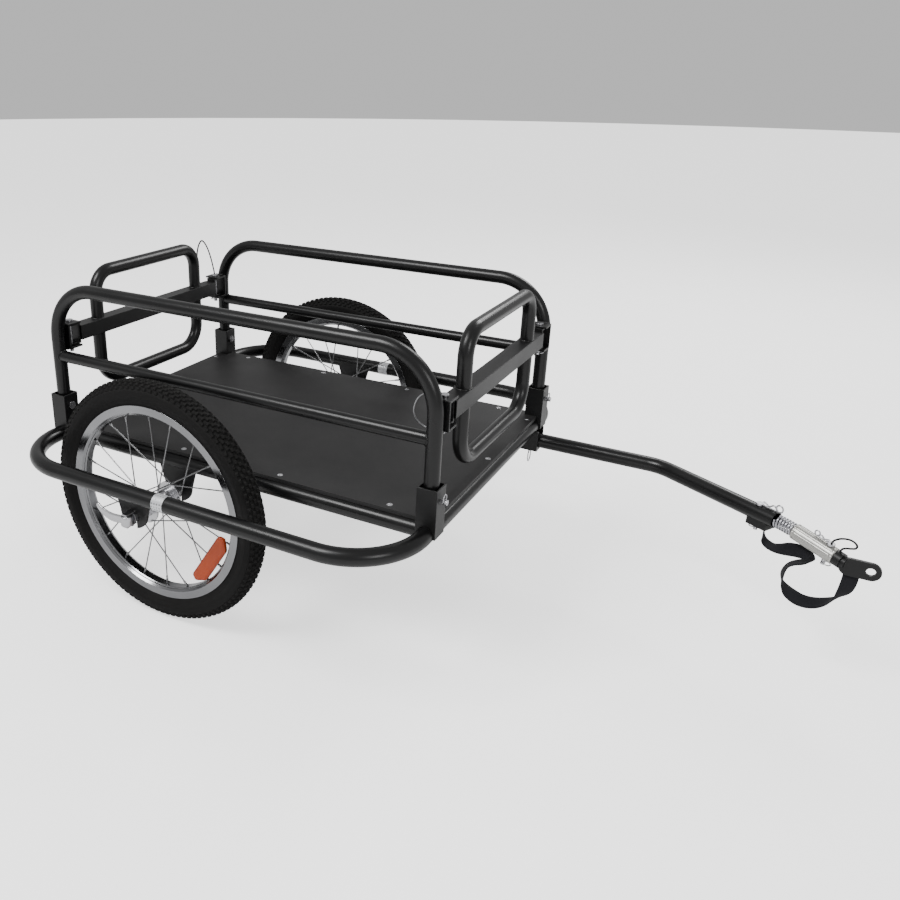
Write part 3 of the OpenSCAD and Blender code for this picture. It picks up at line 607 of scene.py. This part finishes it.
@dataclass
class Shell:
    """Points and faces gathered for one piece."""

    points: list[Vector] = field(default_factory=list)
    faces: list[tuple[int, ...]] = field(default_factory=list)
    uvs: list[Pair] = field(default_factory=list)

    def join(self, start: int, sides: int, closed: bool = False, first_cap: bool = True) -> "Shell":
        """Adds the faces between rings of points, and the caps of open ends.

        Args:
            start: the first ring's first point; the rings run on to the last point.
            sides: points in a ring.
            closed: True if the last ring joins the first.
            first_cap: True if the first ring of an open run is capped too.

        Returns:
            This shell.
        """
        rings = (len(self.points) - start) // sides
        for i in range(rings if closed else rings - 1):
            a, b = start + i * sides, start + (i + 1) % rings * sides
            for k in range(sides):
                n = (k + 1) % sides
                self.faces.append((a + k, a + n, b + n, b + k))
        last = start + (rings - 1) * sides
        if first_cap and not closed:
            self.faces.append(tuple(range(start + sides - 1, start - 1, -1)))
        if not closed:
            self.faces.append(tuple(range(last, last + sides)))
        return self

    def sweep(
        self,
        path: Sequence[Vector],
        section: Section,
        sides: int,
        normals: Sequence[Vector] | None = None,
        closed: bool = False,
        power: float = 1.0,
    ) -> "Shell":
        """Adds a tube along a path.

        Args:
            path: centre points.
            section: ring number and angle to half width and half height there.
            sides: points in a ring.
            normals: the width's direction at each ring; carried along the path if not given.
            closed: True if the path's end joins its start.
            power: below 1 makes a round section boxier.

        Returns:
            This shell.
        """
        start, count, run = len(self.points), len(path), 0.0
        side = None
        for i, p in enumerate(path):
            ahead = path[(i + 1) % count] if closed else path[min(i + 1, count - 1)]
            behind = path[i - 1] if closed or i else path[0]
            along = (ahead - behind).normalized()
            if normals is not None:
                side = Vector(normals[i])
            elif side is None:
                side = along.orthogonal()
            side = (side - along * side.dot(along)).normalized()
            up = along.cross(side)
            run += (p - path[i - 1]).length if i else 0.0
            for k in range(sides):
                angle = TAU * (k + 0.5) / sides
                w, h = section(i, angle)
                c, s = math.cos(angle), math.sin(angle)
                c, s = math.copysign(abs(c) ** power, c), math.copysign(abs(s) ** power, s)
                self.points.append(p + side * w * c + up * h * s)
                self.uvs.append((run, k / sides))
        return self.join(start, sides, closed)

    def lathe(
        self,
        origin: Vector,
        axis: Vector,
        profile: Sequence[Pair],
        sides: int,
        flutes: Callable[[float, float], float] | None = None,
    ) -> "Shell":
        """Adds a turned shape with pointed or open ends.

        Args:
            origin: the axis's start.
            axis: its direction.
            profile: distance along the axis and radius of each ring.
            sides: points in a ring.
            flutes: radius and angle to the radius used, for ribs and hexagons.

        Returns:
            This shell.
        """
        start = len(self.points)
        axis = axis.normalized()
        side = axis.orthogonal().normalized()
        up = axis.cross(side)
        for along, radius in profile:
            for k in range(sides):
                angle = TAU * k / sides
                r = flutes(radius, angle) if flutes else radius
                out = side * math.cos(angle) + up * math.sin(angle)
                self.points.append(origin + axis * along + out * r)
                self.uvs.append((along, k / sides))
        return self.join(start, sides)

    def piece(self, name: str, flat: bool = False) -> bpy.types.Object:
        """Makes the gathered mesh an object of that name."""
        return mesh_piece(name, self.points, self.faces, self.uvs, flat)


def round_section(radius: float) -> Section:
    """A section of that radius all along."""
    return lambda i, angle: (radius, radius)


def smooth(path: Sequence[Vector], steps: int) -> list[Vector]:
    """Catmull-Rom points through a route.

    Args:
        path: the route's points.
        steps: new points for each stretch.

    Returns:
        The finer route, from the first point to the last.
    """
    fine: list[Vector] = []
    last = len(path) - 1
    for i in range(last):
        a, b, c, d = path[max(i - 1, 0)], path[i], path[i + 1], path[min(i + 2, last)]
        for k in range(steps):
            t = k / steps
            quad = (2 * a - 5 * b + 4 * c - d) * t * t
            cube = (3 * b - a - 3 * c + d) * t**3
            fine.append(0.5 * (2 * b + (c - a) * t + quad + cube))
    return [*fine, path[-1].copy()]


def rounded(corners: Sequence[Pair], cut: float) -> list[Pair]:
    """Rounds off a polygon's corners.

    Args:
        corners: its corners.
        cut: how far from each corner the rounding starts.

    Returns:
        The finer outline.
    """
    outline = []
    for k, corner in enumerate(corners):
        before, here, after = Vector(corners[k - 1]), Vector(corner), Vector(corners[(k + 1) % len(corners)])
        p, q = here + (before - here).normalized() * cut, here + (after - here).normalized() * cut
        for t in (0.0, 0.25, 0.5, 0.75, 1.0):
            spot = p * (1 - t) ** 2 + here * (2 * t * (1 - t)) + q * t * t
            outline.append((spot.x, spot.y))
    return outline


# Camera and light


@dataclass(frozen=True)
class Studio:
    """The camera's place, the pale floor and the soft lights."""

    eye: Point = (0.49221, -1.20866, 0.83615)
    azimuth: float = 30.24
    elevation: float = 21.05
    roll: float = 0.48
    lens: float = 35.15
    shift: Pair = (0.1355, -0.0527)
    target: Point = (0.05, 0.0, 0.25)
    sky_strength: float = 0.62
    floor_glow: float = 1.2
    floor_sides: int = 64
    floor_radii: Pair = (2.0, 14.0)
    floor_drop: float = 0.0004

    def camera(self) -> None:
        """Adds the camera and makes it the scene's."""
        a, e, r = (math.radians(v) for v in (self.azimuth, self.elevation, self.roll))
        look = Vector((-math.sin(a) * math.cos(e), math.cos(a) * math.cos(e), -math.sin(e)))
        level = Vector((math.cos(a), math.sin(a), 0.0))
        up = level.cross(look)
        right = level * math.cos(r) + up * math.sin(r)
        data = bpy.data.cameras.new("camera")
        data.lens, data.sensor_width = self.lens, 36.0
        data.shift_x, data.shift_y = self.shift
        data.clip_start, data.clip_end = 0.05, 60.0
        camera = bpy.data.objects.new("camera", data)
        bpy.context.scene.collection.objects.link(camera)
        turn = Matrix((right, right.cross(look), -look)).transposed()
        camera.matrix_world = Matrix.Translation(self.eye) @ turn.to_4x4()
        bpy.context.scene.camera = camera

    def light(self, name: str, place: Point, size: float, watts: float) -> None:
        """Adds a soft square light that looks at the trailer.

        Args:
            name: the light's name.
            place: where it hangs.
            size: its side, in metres.
            watts: its power.
        """
        data = bpy.data.lights.new(name, "AREA")
        data.energy, data.size = watts, size
        lamp = bpy.data.objects.new(name, data)
        bpy.context.scene.collection.objects.link(lamp)
        lamp.location = place
        lamp.rotation_euler = (Vector(self.target) - Vector(place)).to_track_quat("-Z", "Y").to_euler()

    def floor(self) -> None:
        count = self.floor_sides
        turns = [TAU * k / count for k in range(count)]
        rings = [Vector((r * math.cos(t), r * math.sin(t), 0.0)) for r in self.floor_radii for t in turns]
        faces: list[tuple[int, ...]] = [tuple(range(count))]
        faces += [(k, count + k, count + (k + 1) % count, (k + 1) % count) for k in range(count)]
        ground = mesh_piece("floor", rings, faces, flat=True)
        ground.location.z = -self.floor_drop
        paper = Finish("floor", (0.93, 0.93, 0.93), (0.95, 0.95, 0.95), 0.95, specular=0.1, grain=0.0).build()
        shader = next(n for n in paper.node_tree.nodes if n.type == "BSDF_PRINCIPLED")
        shader.inputs["Emission Color"].default_value = (1.0, 1.0, 1.0, 1.0)
        rays = paper.node_tree.nodes.new("ShaderNodeLightPath")
        glow = Nodes(paper.node_tree).math("MULTIPLY", rays.outputs["Is Camera Ray"], self.floor_glow)
        paper.node_tree.links.new(glow, shader.inputs["Emission Strength"])
        ground.data.materials.append(paper)

    def build(self) -> None:
        """Sets up world, floor, lights and camera."""
        world = bpy.data.worlds.new("studio")
        bpy.context.scene.world = world
        world.use_nodes = True
        sky = world.node_tree.nodes["Background"]
        sky.inputs[0].default_value = (1.0, 1.0, 1.0, 1.0)
        sky.inputs[1].default_value = self.sky_strength
        self.floor()
        self.light("key", (-1.0, -1.6, 2.6), 1.1, 72.0)
        self.light("fill", (2.4, -1.6, 1.7), 0.9, 26.0)
        self.light("back", (0.4, 2.4, 2.3), 1.2, 44.0)
        self.camera()


# Cords and strap


def route(points: Sequence[Point]) -> list[Vector]:
    """A route in millimetres from the trailer's middle, in metres."""
    return [plan(*p) for p in points]


STRAP = [(732, 113.5, 199.5), (732, 113.5, 191), (733, 113, 184), (737, 110.5, 179), (744, 106.5, 176.5),
         (753, 101.5, 178), (762, 96, 182), (771, 91, 186), (780, 86, 189), (788, 81.5, 190), (795, 78, 188),
         (798, 76, 184), (796, 77, 180), (790, 80, 176.5), (782, 85, 171), (774, 89, 163), (769, 92, 152),
         (767, 93, 140), (769, 92, 131), (775, 89, 124), (783, 84, 119), (794, 78, 117), (806, 71, 120),
         (818, 64, 127), (829, 58, 137), (838, 53, 149), (844, 51.5, 162), (847, 53, 174), (848, 55.5, 186),
         (848, 55.5, 195)]
STRAP_TURN = [(0, 1, 0), (0, 1, 0), (0.1, 1, 0), (0.3, 0.9, 0), (0.5, 0.9, 0.1), (0.4, 0.8, 0.4),
              (0.3, 0.6, 0.7), (0.2, 0.4, 0.9), (0.3, 0.5, 0.8), (0.3, 0.7, 0.6), (0.4, 0.9, 0.2), (0.5, 0.9, 0),
              (0.5, 0.9, 0), (0.4, 0.9, 0.1), (0.3, 0.9, 0.1), (0.1, 1, 0), (-0.1, 1, 0), (-0.2, 1, 0),
              (-0.1, 1, 0.1), (0, 0.9, 0.3), (0.2, 0.8, 0.5), (0.3, 0.7, 0.6), (0.3, 0.7, 0.6), (0.4, 0.7, 0.6),
              (0.5, 0.6, 0.5), (0.6, 0.6, 0.3), (0.8, 0.4, 0.1), (0.95, 0.2, 0), (1, 0, 0), (1, 0, 0)]
PANEL_CORD = [(-340, 199, 434), (-340, 198, 441), (-340.5, 196, 450), (-341, 193, 462), (-342, 189, 476),
              (-343, 183, 491), (-344, 175, 503), (-344, 166, 508), (-343, 156, 501), (-342, 149, 488),
              (-341, 147, 475), (-340, 146.8, 462)]
GATE_CORD = [(337, -200, 434), (331, -201, 437), (322, -203, 436), (312, -205, 431), (304, -205, 423),
             (300, -205, 413), (299, -205, 403), (303, -204, 393), (311, -203, 386), (321, -202, 382),
             (330, -201, 380.5), (338, -200, 380.5)]
BOW_CORD = [(817, 64, 223), (819, 63, 228.5), (823.5, 60.5, 233.5), (829, 58, 237), (836, 54, 239.5),
            (842, 50.5, 239), (846, 48.5, 235.5), (845, 49, 231), (840, 51.5, 228), (835, 54.5, 225.5),
            (831, 56.5, 222.5), (829.5, 57.3, 219), (829.5, 57.3, 215.6)]
ROUTE_STEPS = 6


@dataclass
class Strap:
    """The flat safety strap from the drawbar's anchor to the hitch plate."""

    palette: Palette
    width: float = 0.020
    thickness: float = 0.0022

    def build(self) -> bpy.types.Object:
        """Returns:
            The strap.
        """
        line = smooth(route(STRAP), ROUTE_STEPS)
        turns = smooth([Vector(t).normalized() for t in STRAP_TURN], ROUTE_STEPS)

        def flat(i: int, angle: float) -> Pair:
            """The webbing's section, a little thicker at its two woven edges."""
            edge = 1.0 + 0.18 * max(0.0, abs(math.cos(angle)) - 0.8) / 0.2
            return self.width / 2, self.thickness / 2 * edge

        shell = Shell().sweep(line, flat, 20, turns, power=0.45)
        piece = shell.piece("safety_webbing")
        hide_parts("safety_strap")
        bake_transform(piece)
        self.palette.dress(piece, "webbing")
        return piece


@dataclass
class Lanyard:
    """A thin braided cord that keeps a pin from being lost."""

    palette: Palette
    name: str
    node: str
    body: str
    points: Sequence[Point]
    radius: float = 0.0014
    slot: str = "cord"

    def build(self) -> bpy.types.Object:
        """Returns:
            The cord.
        """
        line = smooth(route(self.points), ROUTE_STEPS)
        piece = Shell().sweep(line, round_section(self.radius), 12).piece(self.name)
        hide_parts(self.node)
        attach(piece, self.body)
        self.palette.dress(piece, self.slot)
        return piece


# Wheels


@dataclass
class Wheel:
    """One wheel's tyre, nipples, reflector and quick-release lever, round its hub's centre."""

    palette: Palette
    side: Side
    steps: int = 648
    blocks: int = 108
    hub: Point = (-90, 288.65, 200)
    tyre_mid: float = 181
    tyre_radius: float = 19
    tyre_inset: float = 0.05
    rows: tuple[float, ...] = (11, 30, 49, 66)
    groove: float = 2.5
    groove_half: float = 2.0
    groove_share: float = 0.34
    spoke_count: int = 20
    reflector_turn: float = 123
    reflector_mid: float = 126
    corner_cut: float = 4
    lever_out: float = 69.6

    @property
    def centre(self) -> Vector:
        """The hub's centre."""
        return plan(self.hub[0], self.side.value * self.hub[1], self.hub[2])

    @property
    def body(self) -> str:
        """The body that the wheel's pieces ride on."""
        return f"{self.side.word}_wheel"

    def spot(self, radius: float, turn: float, y: float) -> Vector:
        """A place on the wheel.

        Args:
            radius: distance from the axle, in millimetres.
            turn: angle from the top towards the front, in degrees.
            y: distance outwards from the wheel's middle plane, in millimetres.

        Returns:
            The place in the shared frame.
        """
        a = math.radians(turn)
        return self.centre + Vector((radius * math.sin(a), self.side.value * y, radius * math.cos(a))) / 1000

    def tread(self, around: float, across: float) -> float:
        """How deep the rubber lies below the tyre's full section there, in millimetres.

        Args:
            around: place round the wheel, in blocks.
            across: angle from the crown over the section, in degrees.

        Returns:
            The depth, 0 on top of a block.
        """
        off = abs(across)
        if off > self.rows[-1]:
            return 2.0 if off <= 70 else 1.4 if off < 100 else 0.9
        row = sum(off >= wall for wall in self.rows[:-1])
        phase = (around + 0.5 * (row % 2)) % 1.0
        between = min(abs(off - wall) for wall in self.rows) < self.groove_half
        return self.groove if between or phase < self.groove_share else 0.0

    def tyre(self) -> bpy.types.Object:
        """The tyre with its rows of small blocks.

        Returns:
            The tyre.
        """
        angles = [-128 + 4.0 * k for k in range(65)]
        bead = [(10, 156.5), (-10, 156.5)]
        count = len(angles) + len(bead)
        shell = Shell()
        for i in range(self.steps):
            turn = 360 * i / self.steps
            for a in angles:
                r = self.tyre_radius - self.tyre_inset - self.tread(i * self.blocks / self.steps, a)
                across = math.radians(a)
                shell.points.append(self.spot(self.tyre_mid + r * math.cos(across), turn, r * math.sin(across)))
            shell.points += [self.spot(radius, turn, y) for y, radius in bead]
        shell.join(0, count, closed=True)
        faces = shell.faces if self.side is Side.RIGHT else [face[::-1] for face in shell.faces]
        piece = mesh_piece(f"{self.side.word}_treaded_tyre", shell.points, faces)
        smooth_walls = [k < 14 or k > 49 for k in range(count)]
        piece.data.polygons.foreach_set("use_smooth", smooth_walls * self.steps)
        return self.palette.mount(piece, "tyre", self.body, f"{self.side.word}_tyre")

    def nipples(self) -> bpy.types.Object:
        """The spokes' nipples at the rim, following the spokes' own lines.

        Returns:
            All twenty as one piece.
        """
        shell = Shell()
        profile = [(-0.0005, 0.0019), (0.006, 0.0019), (0.0068, 0.0016), (0.0115, 0.0016), (0.012, 0.0012)]
        for i in range(self.spoke_count):
            flange = 1 if i % 2 == 0 else -1
            trail = 1 if (i // 2) % 2 == 0 else -1
            turn = i * 360 / self.spoke_count + 15
            hub = self.spot(20, turn + trail * 62, flange * 26 + flange * trail * 2.5)
            rim = self.spot(145, turn, flange * 1.5)
            shell.lathe(rim, (hub - rim).normalized(), profile, 12)
        return self.palette.mount(shell.piece(f"{self.side.word}_nipples"), "spoke", self.body)

    def reflector(self) -> bpy.types.Object:
        """The spoke reflector: a rounded housing with a raised lens.

        Returns:
            The reflector.
        """
        a = math.radians(self.reflector_turn)
        up = Vector((math.sin(a), 0.0, math.cos(a)))
        along = Vector((math.cos(a), 0.0, -math.sin(a)))
        corners = [(-53, -2), (-48, -12), (48, -12), (53, -2), (37, 12), (-37, 12)]
        layers = [(4.0, 1.4), (4.6, 0.3), (5.6, 0.0), (9.0, 0.0), (10.0, 0.5), (10.2, 2.2), (10.9, 2.9), (11.0, 4.2)]
        outline = rounded(corners, self.corner_cut)
        shell = Shell()
        for depth, inset in layers:
            for u, v in outline:
                u2, v2 = u * (1 - inset / 48), v * (1 - inset / 12)
                spot = self.centre + (up * (self.reflector_mid + v2) + along * u2) / 1000
                shell.points.append(spot + Vector((0.0, self.side.value * depth / 1000, 0.0)))
                shell.uvs.append((u, v))
        shell.join(0, len(outline))
        piece = shell.piece(f"{self.side.word}_lens", flat=True)
        return self.palette.mount(piece, "reflector", self.body, f"{self.side.word}_reflector")

    def lever(self) -> bpy.types.Object:
        """The curved quick-release lever on its cam.

        Returns:
            The lever.
        """
        out = self.lever_out
        shell = Shell()
        low = self.spot(0, 0, out) + Vector((0.0, 0.0, -0.008))
        cam = [(0.0, 0.0078), (0.0006, 0.0086), (0.0016, 0.009), (0.0144, 0.009), (0.0154, 0.0086), (0.016, 0.0078)]
        shell.lathe(low, Vector((0, 0, 1)), cam, 32)
        stations = [(-4, 0, 0.0), (-14, 0.6, -1.5), (-26, 0.8, -2.2), (-38, 0.2, -0.8), (-49, -1.0, 2.4),
                    (-57, -2.6, 6.2), (-62, -4.2, 9.6)]
        line = smooth([self.centre + Vector((x, self.side.value * (out + y), z)) / 1000 for x, y, z in stations], 5)
        last = len(line) - 1
        swells = [math.sin(math.pi * min(1.0, 0.25 + 0.8 * i / last)) ** 2 for i in range(last + 1)]
        widths = [0.0048 + 0.0022 * swell for swell in swells]

        def blade(i: int, angle: float) -> Pair:
            """A wide thin blade that rounds off at its tip."""
            tip = math.sqrt(max(0.05, 1 - max(0.0, (i - last + 3) / 3.3) ** 2))
            return widths[i] * tip, 0.0021 * (0.6 + 0.4 * tip)

        shell.sweep(line, blade, 20, [Vector((0, 0, 1))] * len(line), power=0.7)
        piece = shell.piece(f"{self.side.word}_curved_lever")
        return self.palette.mount(piece, "axle", f"{self.side.word}_quick_release", f"{self.side.word}_lever")

    def build(self) -> list[bpy.types.Object]:
        """Makes the wheel's pieces.

        Returns:
            Tyre, nipples, reflector and lever.
        """
        return [self.tyre(), self.nipples(), self.reflector(), self.lever()]


# Frame details


@dataclass
class Welds:
    """Weld beads where tubes meet, one piece for each body."""

    palette: Palette
    radius: float = 1.5
    post: Pair = (340, 227)
    rail_z: float = 379
    rail_radius: float = 9.5
    post_radius: float = 11
    bracket_y: float = 216.2
    bracket_edges: Pair = (388.5, 431.5)
    hoop_leg_y: float = 134
    bar_faces: Pair = (422.5, 397.5)
    ring_points: int = 40

    def bead(self, shell: Shell, ring: Sequence[Vector], closed: bool, rng: random.Random) -> None:
        """Adds one bead with the ripple of its passes.

        Args:
            shell: where the bead goes.
            ring: the joint's line.
            closed: True for a whole ring.
            rng: the seeded source of the ripple's unevenness.
        """
        swell = [1 + 0.12 * math.sin(i * 1.9) + rng.uniform(-0.1, 0.1) for i in range(len(ring))]
        shell.sweep(ring, lambda i, a: (self.radius / 1000 * swell[i],) * 2, 8, closed=closed)

    def saddle(self, x: float, y: float, z: float, small: float, big: float, inward: int) -> list[Vector]:
        """The line where a tube along X meets an upright tube.

        Args:
            x: the upright tube's place.
            y: both tubes' place across.
            z: the level tube's height.
            small: the level tube's radius.
            big: the upright tube's radius.
            inward: 1 or -1, the way from the upright to the level tube.

        Returns:
            Points round the joint.
        """
        ring = []
        for k in range(self.ring_points):
            t = TAU * k / self.ring_points
            reach = math.sqrt(big**2 - (small * math.cos(t)) ** 2)
            ring.append(plan(x + inward * reach, y + small * math.cos(t), z + small * math.sin(t)))
        return ring

    def frame_beads(self) -> bpy.types.Object:
        """The beads where the side panels' rails meet the posts, and along the brackets on the posts.

        Returns:
            The frame's beads.
        """
        shell, rng = Shell(), random.Random(11)
        x, y = self.post
        for s in (1, -1):
            for e in (1, -1):
                joint = self.saddle(e * x, s * y, self.rail_z, self.rail_radius, self.post_radius, -e)
                self.bead(shell, joint, True, rng)
                for z in self.bracket_edges:
                    line = [plan(e * x + d, s * self.bracket_y, z) for d in range(-9, 10)]
                    self.bead(shell, line, False, rng)
        return self.palette.mount(shell.piece("frame_weld_beads"), "frame_paint", "frame")

    def panel_beads(self, end: End) -> bpy.types.Object:
        """The beads of one end panel, where its hoops stand on the bar.

        Args:
            end: which end panel.

        Returns:
            The panel's beads.
        """
        shell, rng = Shell(), random.Random(20 + end.value)
        x, r = end.value * self.post[0], self.post_radius
        turns = [TAU * k / self.ring_points for k in range(self.ring_points)]
        for s in (1, -1):
            for z in self.bar_faces:
                ring = [plan(x + r * math.cos(t), s * self.hoop_leg_y + r * math.sin(t), z) for t in turns]
                self.bead(shell, ring, True, rng)
        piece = shell.piece(f"{end.word}_panel_weld_beads")
        return self.palette.mount(piece, "frame_paint", f"{end.word}_panel")

    def build(self) -> list[bpy.types.Object]:
        """Makes the frame's beads and both end panels'."""
        return [self.frame_beads(), self.panel_beads(End.FRONT), self.panel_beads(End.REAR)]


@dataclass
class Screws:
    """The deck's flush screws with their cross recesses."""

    palette: Palette
    top_z: float = 262.5
    sides: int = 32
    recess: float = 0.9

    def build(self) -> bpy.types.Object:
        """Makes the fourteen heads as one piece.

        Returns:
            The screws.
        """
        spots = [(x, s * 218) for s in (1, -1) for x in (-274.7, -91.57, 91.57, 274.7)]
        spots += [(e * 337, s * 189.7) for s in (1, -1) for e in (1, -1)] + [(e * 337, 0) for e in (1, -1)]
        rings = [(3.0, -1.6, 0), (4.5, 0.0, 0), (4.3, 0.0, 0), (2.6, 0.0, 0), (1.9, 0.0, 1), (0.9, 0.0, 1),
                 (0.25, -self.recess, 0)]
        shell, rng = Shell(), random.Random(5)
        for x, y in spots:
            turn = rng.uniform(0, TAU)
            base = len(shell.points)
            for r, z, cut in rings:
                for k in range(self.sides):
                    a = TAU * k / self.sides
                    drop = -self.recess * self.cross(a + turn) if cut else 0.0
                    shell.points.append(plan(x + r * math.cos(a), y + r * math.sin(a), self.top_z + z + drop))
                    shell.uvs.append((r, a))
            shell.join(base, self.sides, first_cap=False)
        piece = shell.piece("cross_head_screws", flat=True)
        return self.palette.mount(piece, "zinc", "frame", "deck_screws")

    @staticmethod
    def cross(angle: float) -> float:
        """1 in the recess's four arms and 0 between them."""
        return max(0.0, math.cos(4 * angle)) ** 3


# Coupler


@dataclass
class Coupler:
    """The spring, ribbed sleeve and wire clips at the drawbar's front end."""

    palette: Palette
    yaw: float = 30
    droop: float = 9
    turns: int = 7
    turn_points: int = 40
    coil_length: float = 0.030
    coil_radius: float = 0.009
    coil_wire: float = 0.0015
    coil_margin: float = 0.06
    sleeve_start: float = 0.015
    rib_count: int = 12
    rib_depth: float = 0.0004

    def __post_init__(self) -> None:
        """Works out the coupler's axes from its yaw and droop."""
        yaw, droop = math.radians(self.yaw), math.radians(self.droop)
        x, y = math.cos(yaw), -math.sin(yaw)
        self.front = Vector((x, y, 0.0))
        self.axis = Vector((x * math.cos(droop), y * math.cos(droop), -math.sin(droop)))
        self.across = Vector((math.sin(yaw), math.cos(yaw), 0.0))
        self.end = plan(744.597, 106, 219)
        self.pivot = plan(757.588, 98.5, 219)

    def spring(self) -> bpy.types.Object:
        """The coil of round wire along the bend of the joint.

        Returns:
            The spring.
        """
        steps, droop = self.turns * self.turn_points, math.radians(self.droop)
        arc = self.coil_length / droop
        up = Vector((0.0, 0.0, 1.0))
        line, outs = [], []
        for i in range(steps + 1):
            t = self.coil_margin + (1 - 2 * self.coil_margin) * i / steps
            a, b = TAU * self.turns * t, droop * t
            centre = self.end + self.front * arc * math.sin(b) + up * (arc * (math.cos(b) - 1))
            out = self.across * math.cos(a) + (self.front * math.sin(b) + up * math.cos(b)) * math.sin(a)
            line.append(centre + out * self.coil_radius)
            outs.append(out)
        piece = Shell().sweep(line, round_section(self.coil_wire), 16, outs).piece("round_wire_spring")
        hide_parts("coupler_spring")
        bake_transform(piece)
        self.palette.dress(piece, "spring")
        return piece

    def sleeve(self) -> bpy.types.Object:
        """The aluminium sleeve with ribs along it.

        Returns:
            The sleeve.
        """
        profile = [(0.0000, 0.0108), (0.0008, 0.0116), (0.0016, 0.0120), (0.0030, 0.0120), (0.0034, 0.0115),
                   (0.0048, 0.0115), (0.0052, 0.0120), (0.0588, 0.0120), (0.0592, 0.0115), (0.0606, 0.0115),
                   (0.0610, 0.0120), (0.0624, 0.0120), (0.0633, 0.0116), (0.0640, 0.0106)]

        def ribs(radius: float, angle: float) -> float:
            """Shallow grooves in the full-size part."""
            full = radius > 0.0119
            return radius - (self.rib_depth * max(0.0, math.cos(self.rib_count * angle)) ** 3 if full else 0.0)

        start = self.pivot + self.axis * self.sleeve_start
        piece = Shell().lathe(start, self.axis, profile, 160, ribs).piece("ribbed_sleeve", flat=True)
        return self.palette.mount(piece, "sleeve", "coupler", "coupler_sleeve")

    def clip(
        self, name: str, body: str, base: Vector, along: Vector, out: Vector, shape: Sequence[Pair], wire: float
    ) -> bpy.types.Object:
        """A spring clip of bent wire in one plane.

        Args:
            name: the piece's name.
            body: the body it rides on.
            base: the plane's origin.
            along: the plane's direction along the tube.
            out: the plane's direction away from the tube.
            shape: places along and out, in millimetres, from end to end.
            wire: the wire's radius.

        Returns:
            The clip.
        """
        bent = smooth([base + (along * s + out * h) / 1000 for s, h in shape], 5)
        normal = [along.cross(out)] * len(bent)
        piece = Shell().sweep(bent, round_section(wire), 12, normal).piece(name)
        return self.palette.mount(piece, "zinc", body)

    def build(self) -> list[bpy.types.Object]:
        """Makes the coupler's pieces.

        Returns:
            Spring, sleeve and both clips.
        """
        up = Vector((0.0, 0.0, 1.0))
        out = self.axis.cross(self.across).normalized()
        eye = [(math.cos(math.radians(t)), math.sin(math.radians(t))) for t in range(250, -91, -40)][::-1]
        rear = [(-26, 14.2), (-18, 14.4), (-9, 14.2), *((2 + 5.2 * c, 19.4 + 5.2 * s) for c, s in eye),
                (-7, 20.4), (-14, 16.4), (-20, 18.6), (-24, 20.0)]
        front = [(65, 14.6), (58, 14.0), (50, 13.8), *((45 - 3.6 * c, 17.3 + 3.6 * s) for c, s in eye),
                 (51, 17.6), (56, 15.2), (60, 16.4), (63, 17.8)]
        return [
            self.spring(),
            self.sleeve(),
            self.clip("rear_pin_clip", "frame", self.end, self.front, up, rear, 0.0012),
            self.clip("front_pin_clip", "coupler", self.pivot, self.axis, out if out.z > 0 else -out, front, 0.0010),
        ]


def dress_nodes(palette: Palette) -> None:
    """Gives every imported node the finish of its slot.

    Args:
        palette: the materials.
    """
    for part in frame["record"]["subparts"]:
        palette.dress(frame["nodes"][part["node"]], part["material_slot"])


def main() -> None:
    """Builds the studio, the cords, the wheels, the frame's details and the coupler, in that order."""
    logging.basicConfig(level=logging.INFO, format="%(name)s: %(message)s")
    Studio().build()
    palette = Palette()
    pieces: list[bpy.types.Object] = [
        Strap(palette).build(),
        Lanyard(palette, "rear_pin_lanyard", "panel_lanyard", "frame", PANEL_CORD).build(),
        Lanyard(palette, "front_pin_lanyard", "gate_lanyard", "frame", GATE_CORD, 0.001, "wire").build(),
        Lanyard(palette, "coupler_bow", "coupler_lanyard", "coupler", BOW_CORD).build(),
    ]
    dress_nodes(palette)
    for side in Side:
        pieces += Wheel(palette, side).build()
    pieces += Welds(palette).build()
    pieces.append(Screws(palette).build())
    pieces += Coupler(palette).build()
    for piece in pieces:
        LOG.info("%s: %d faces", piece.name, len(piece.data.polygons))


if __name__ == "__main__":
    main()
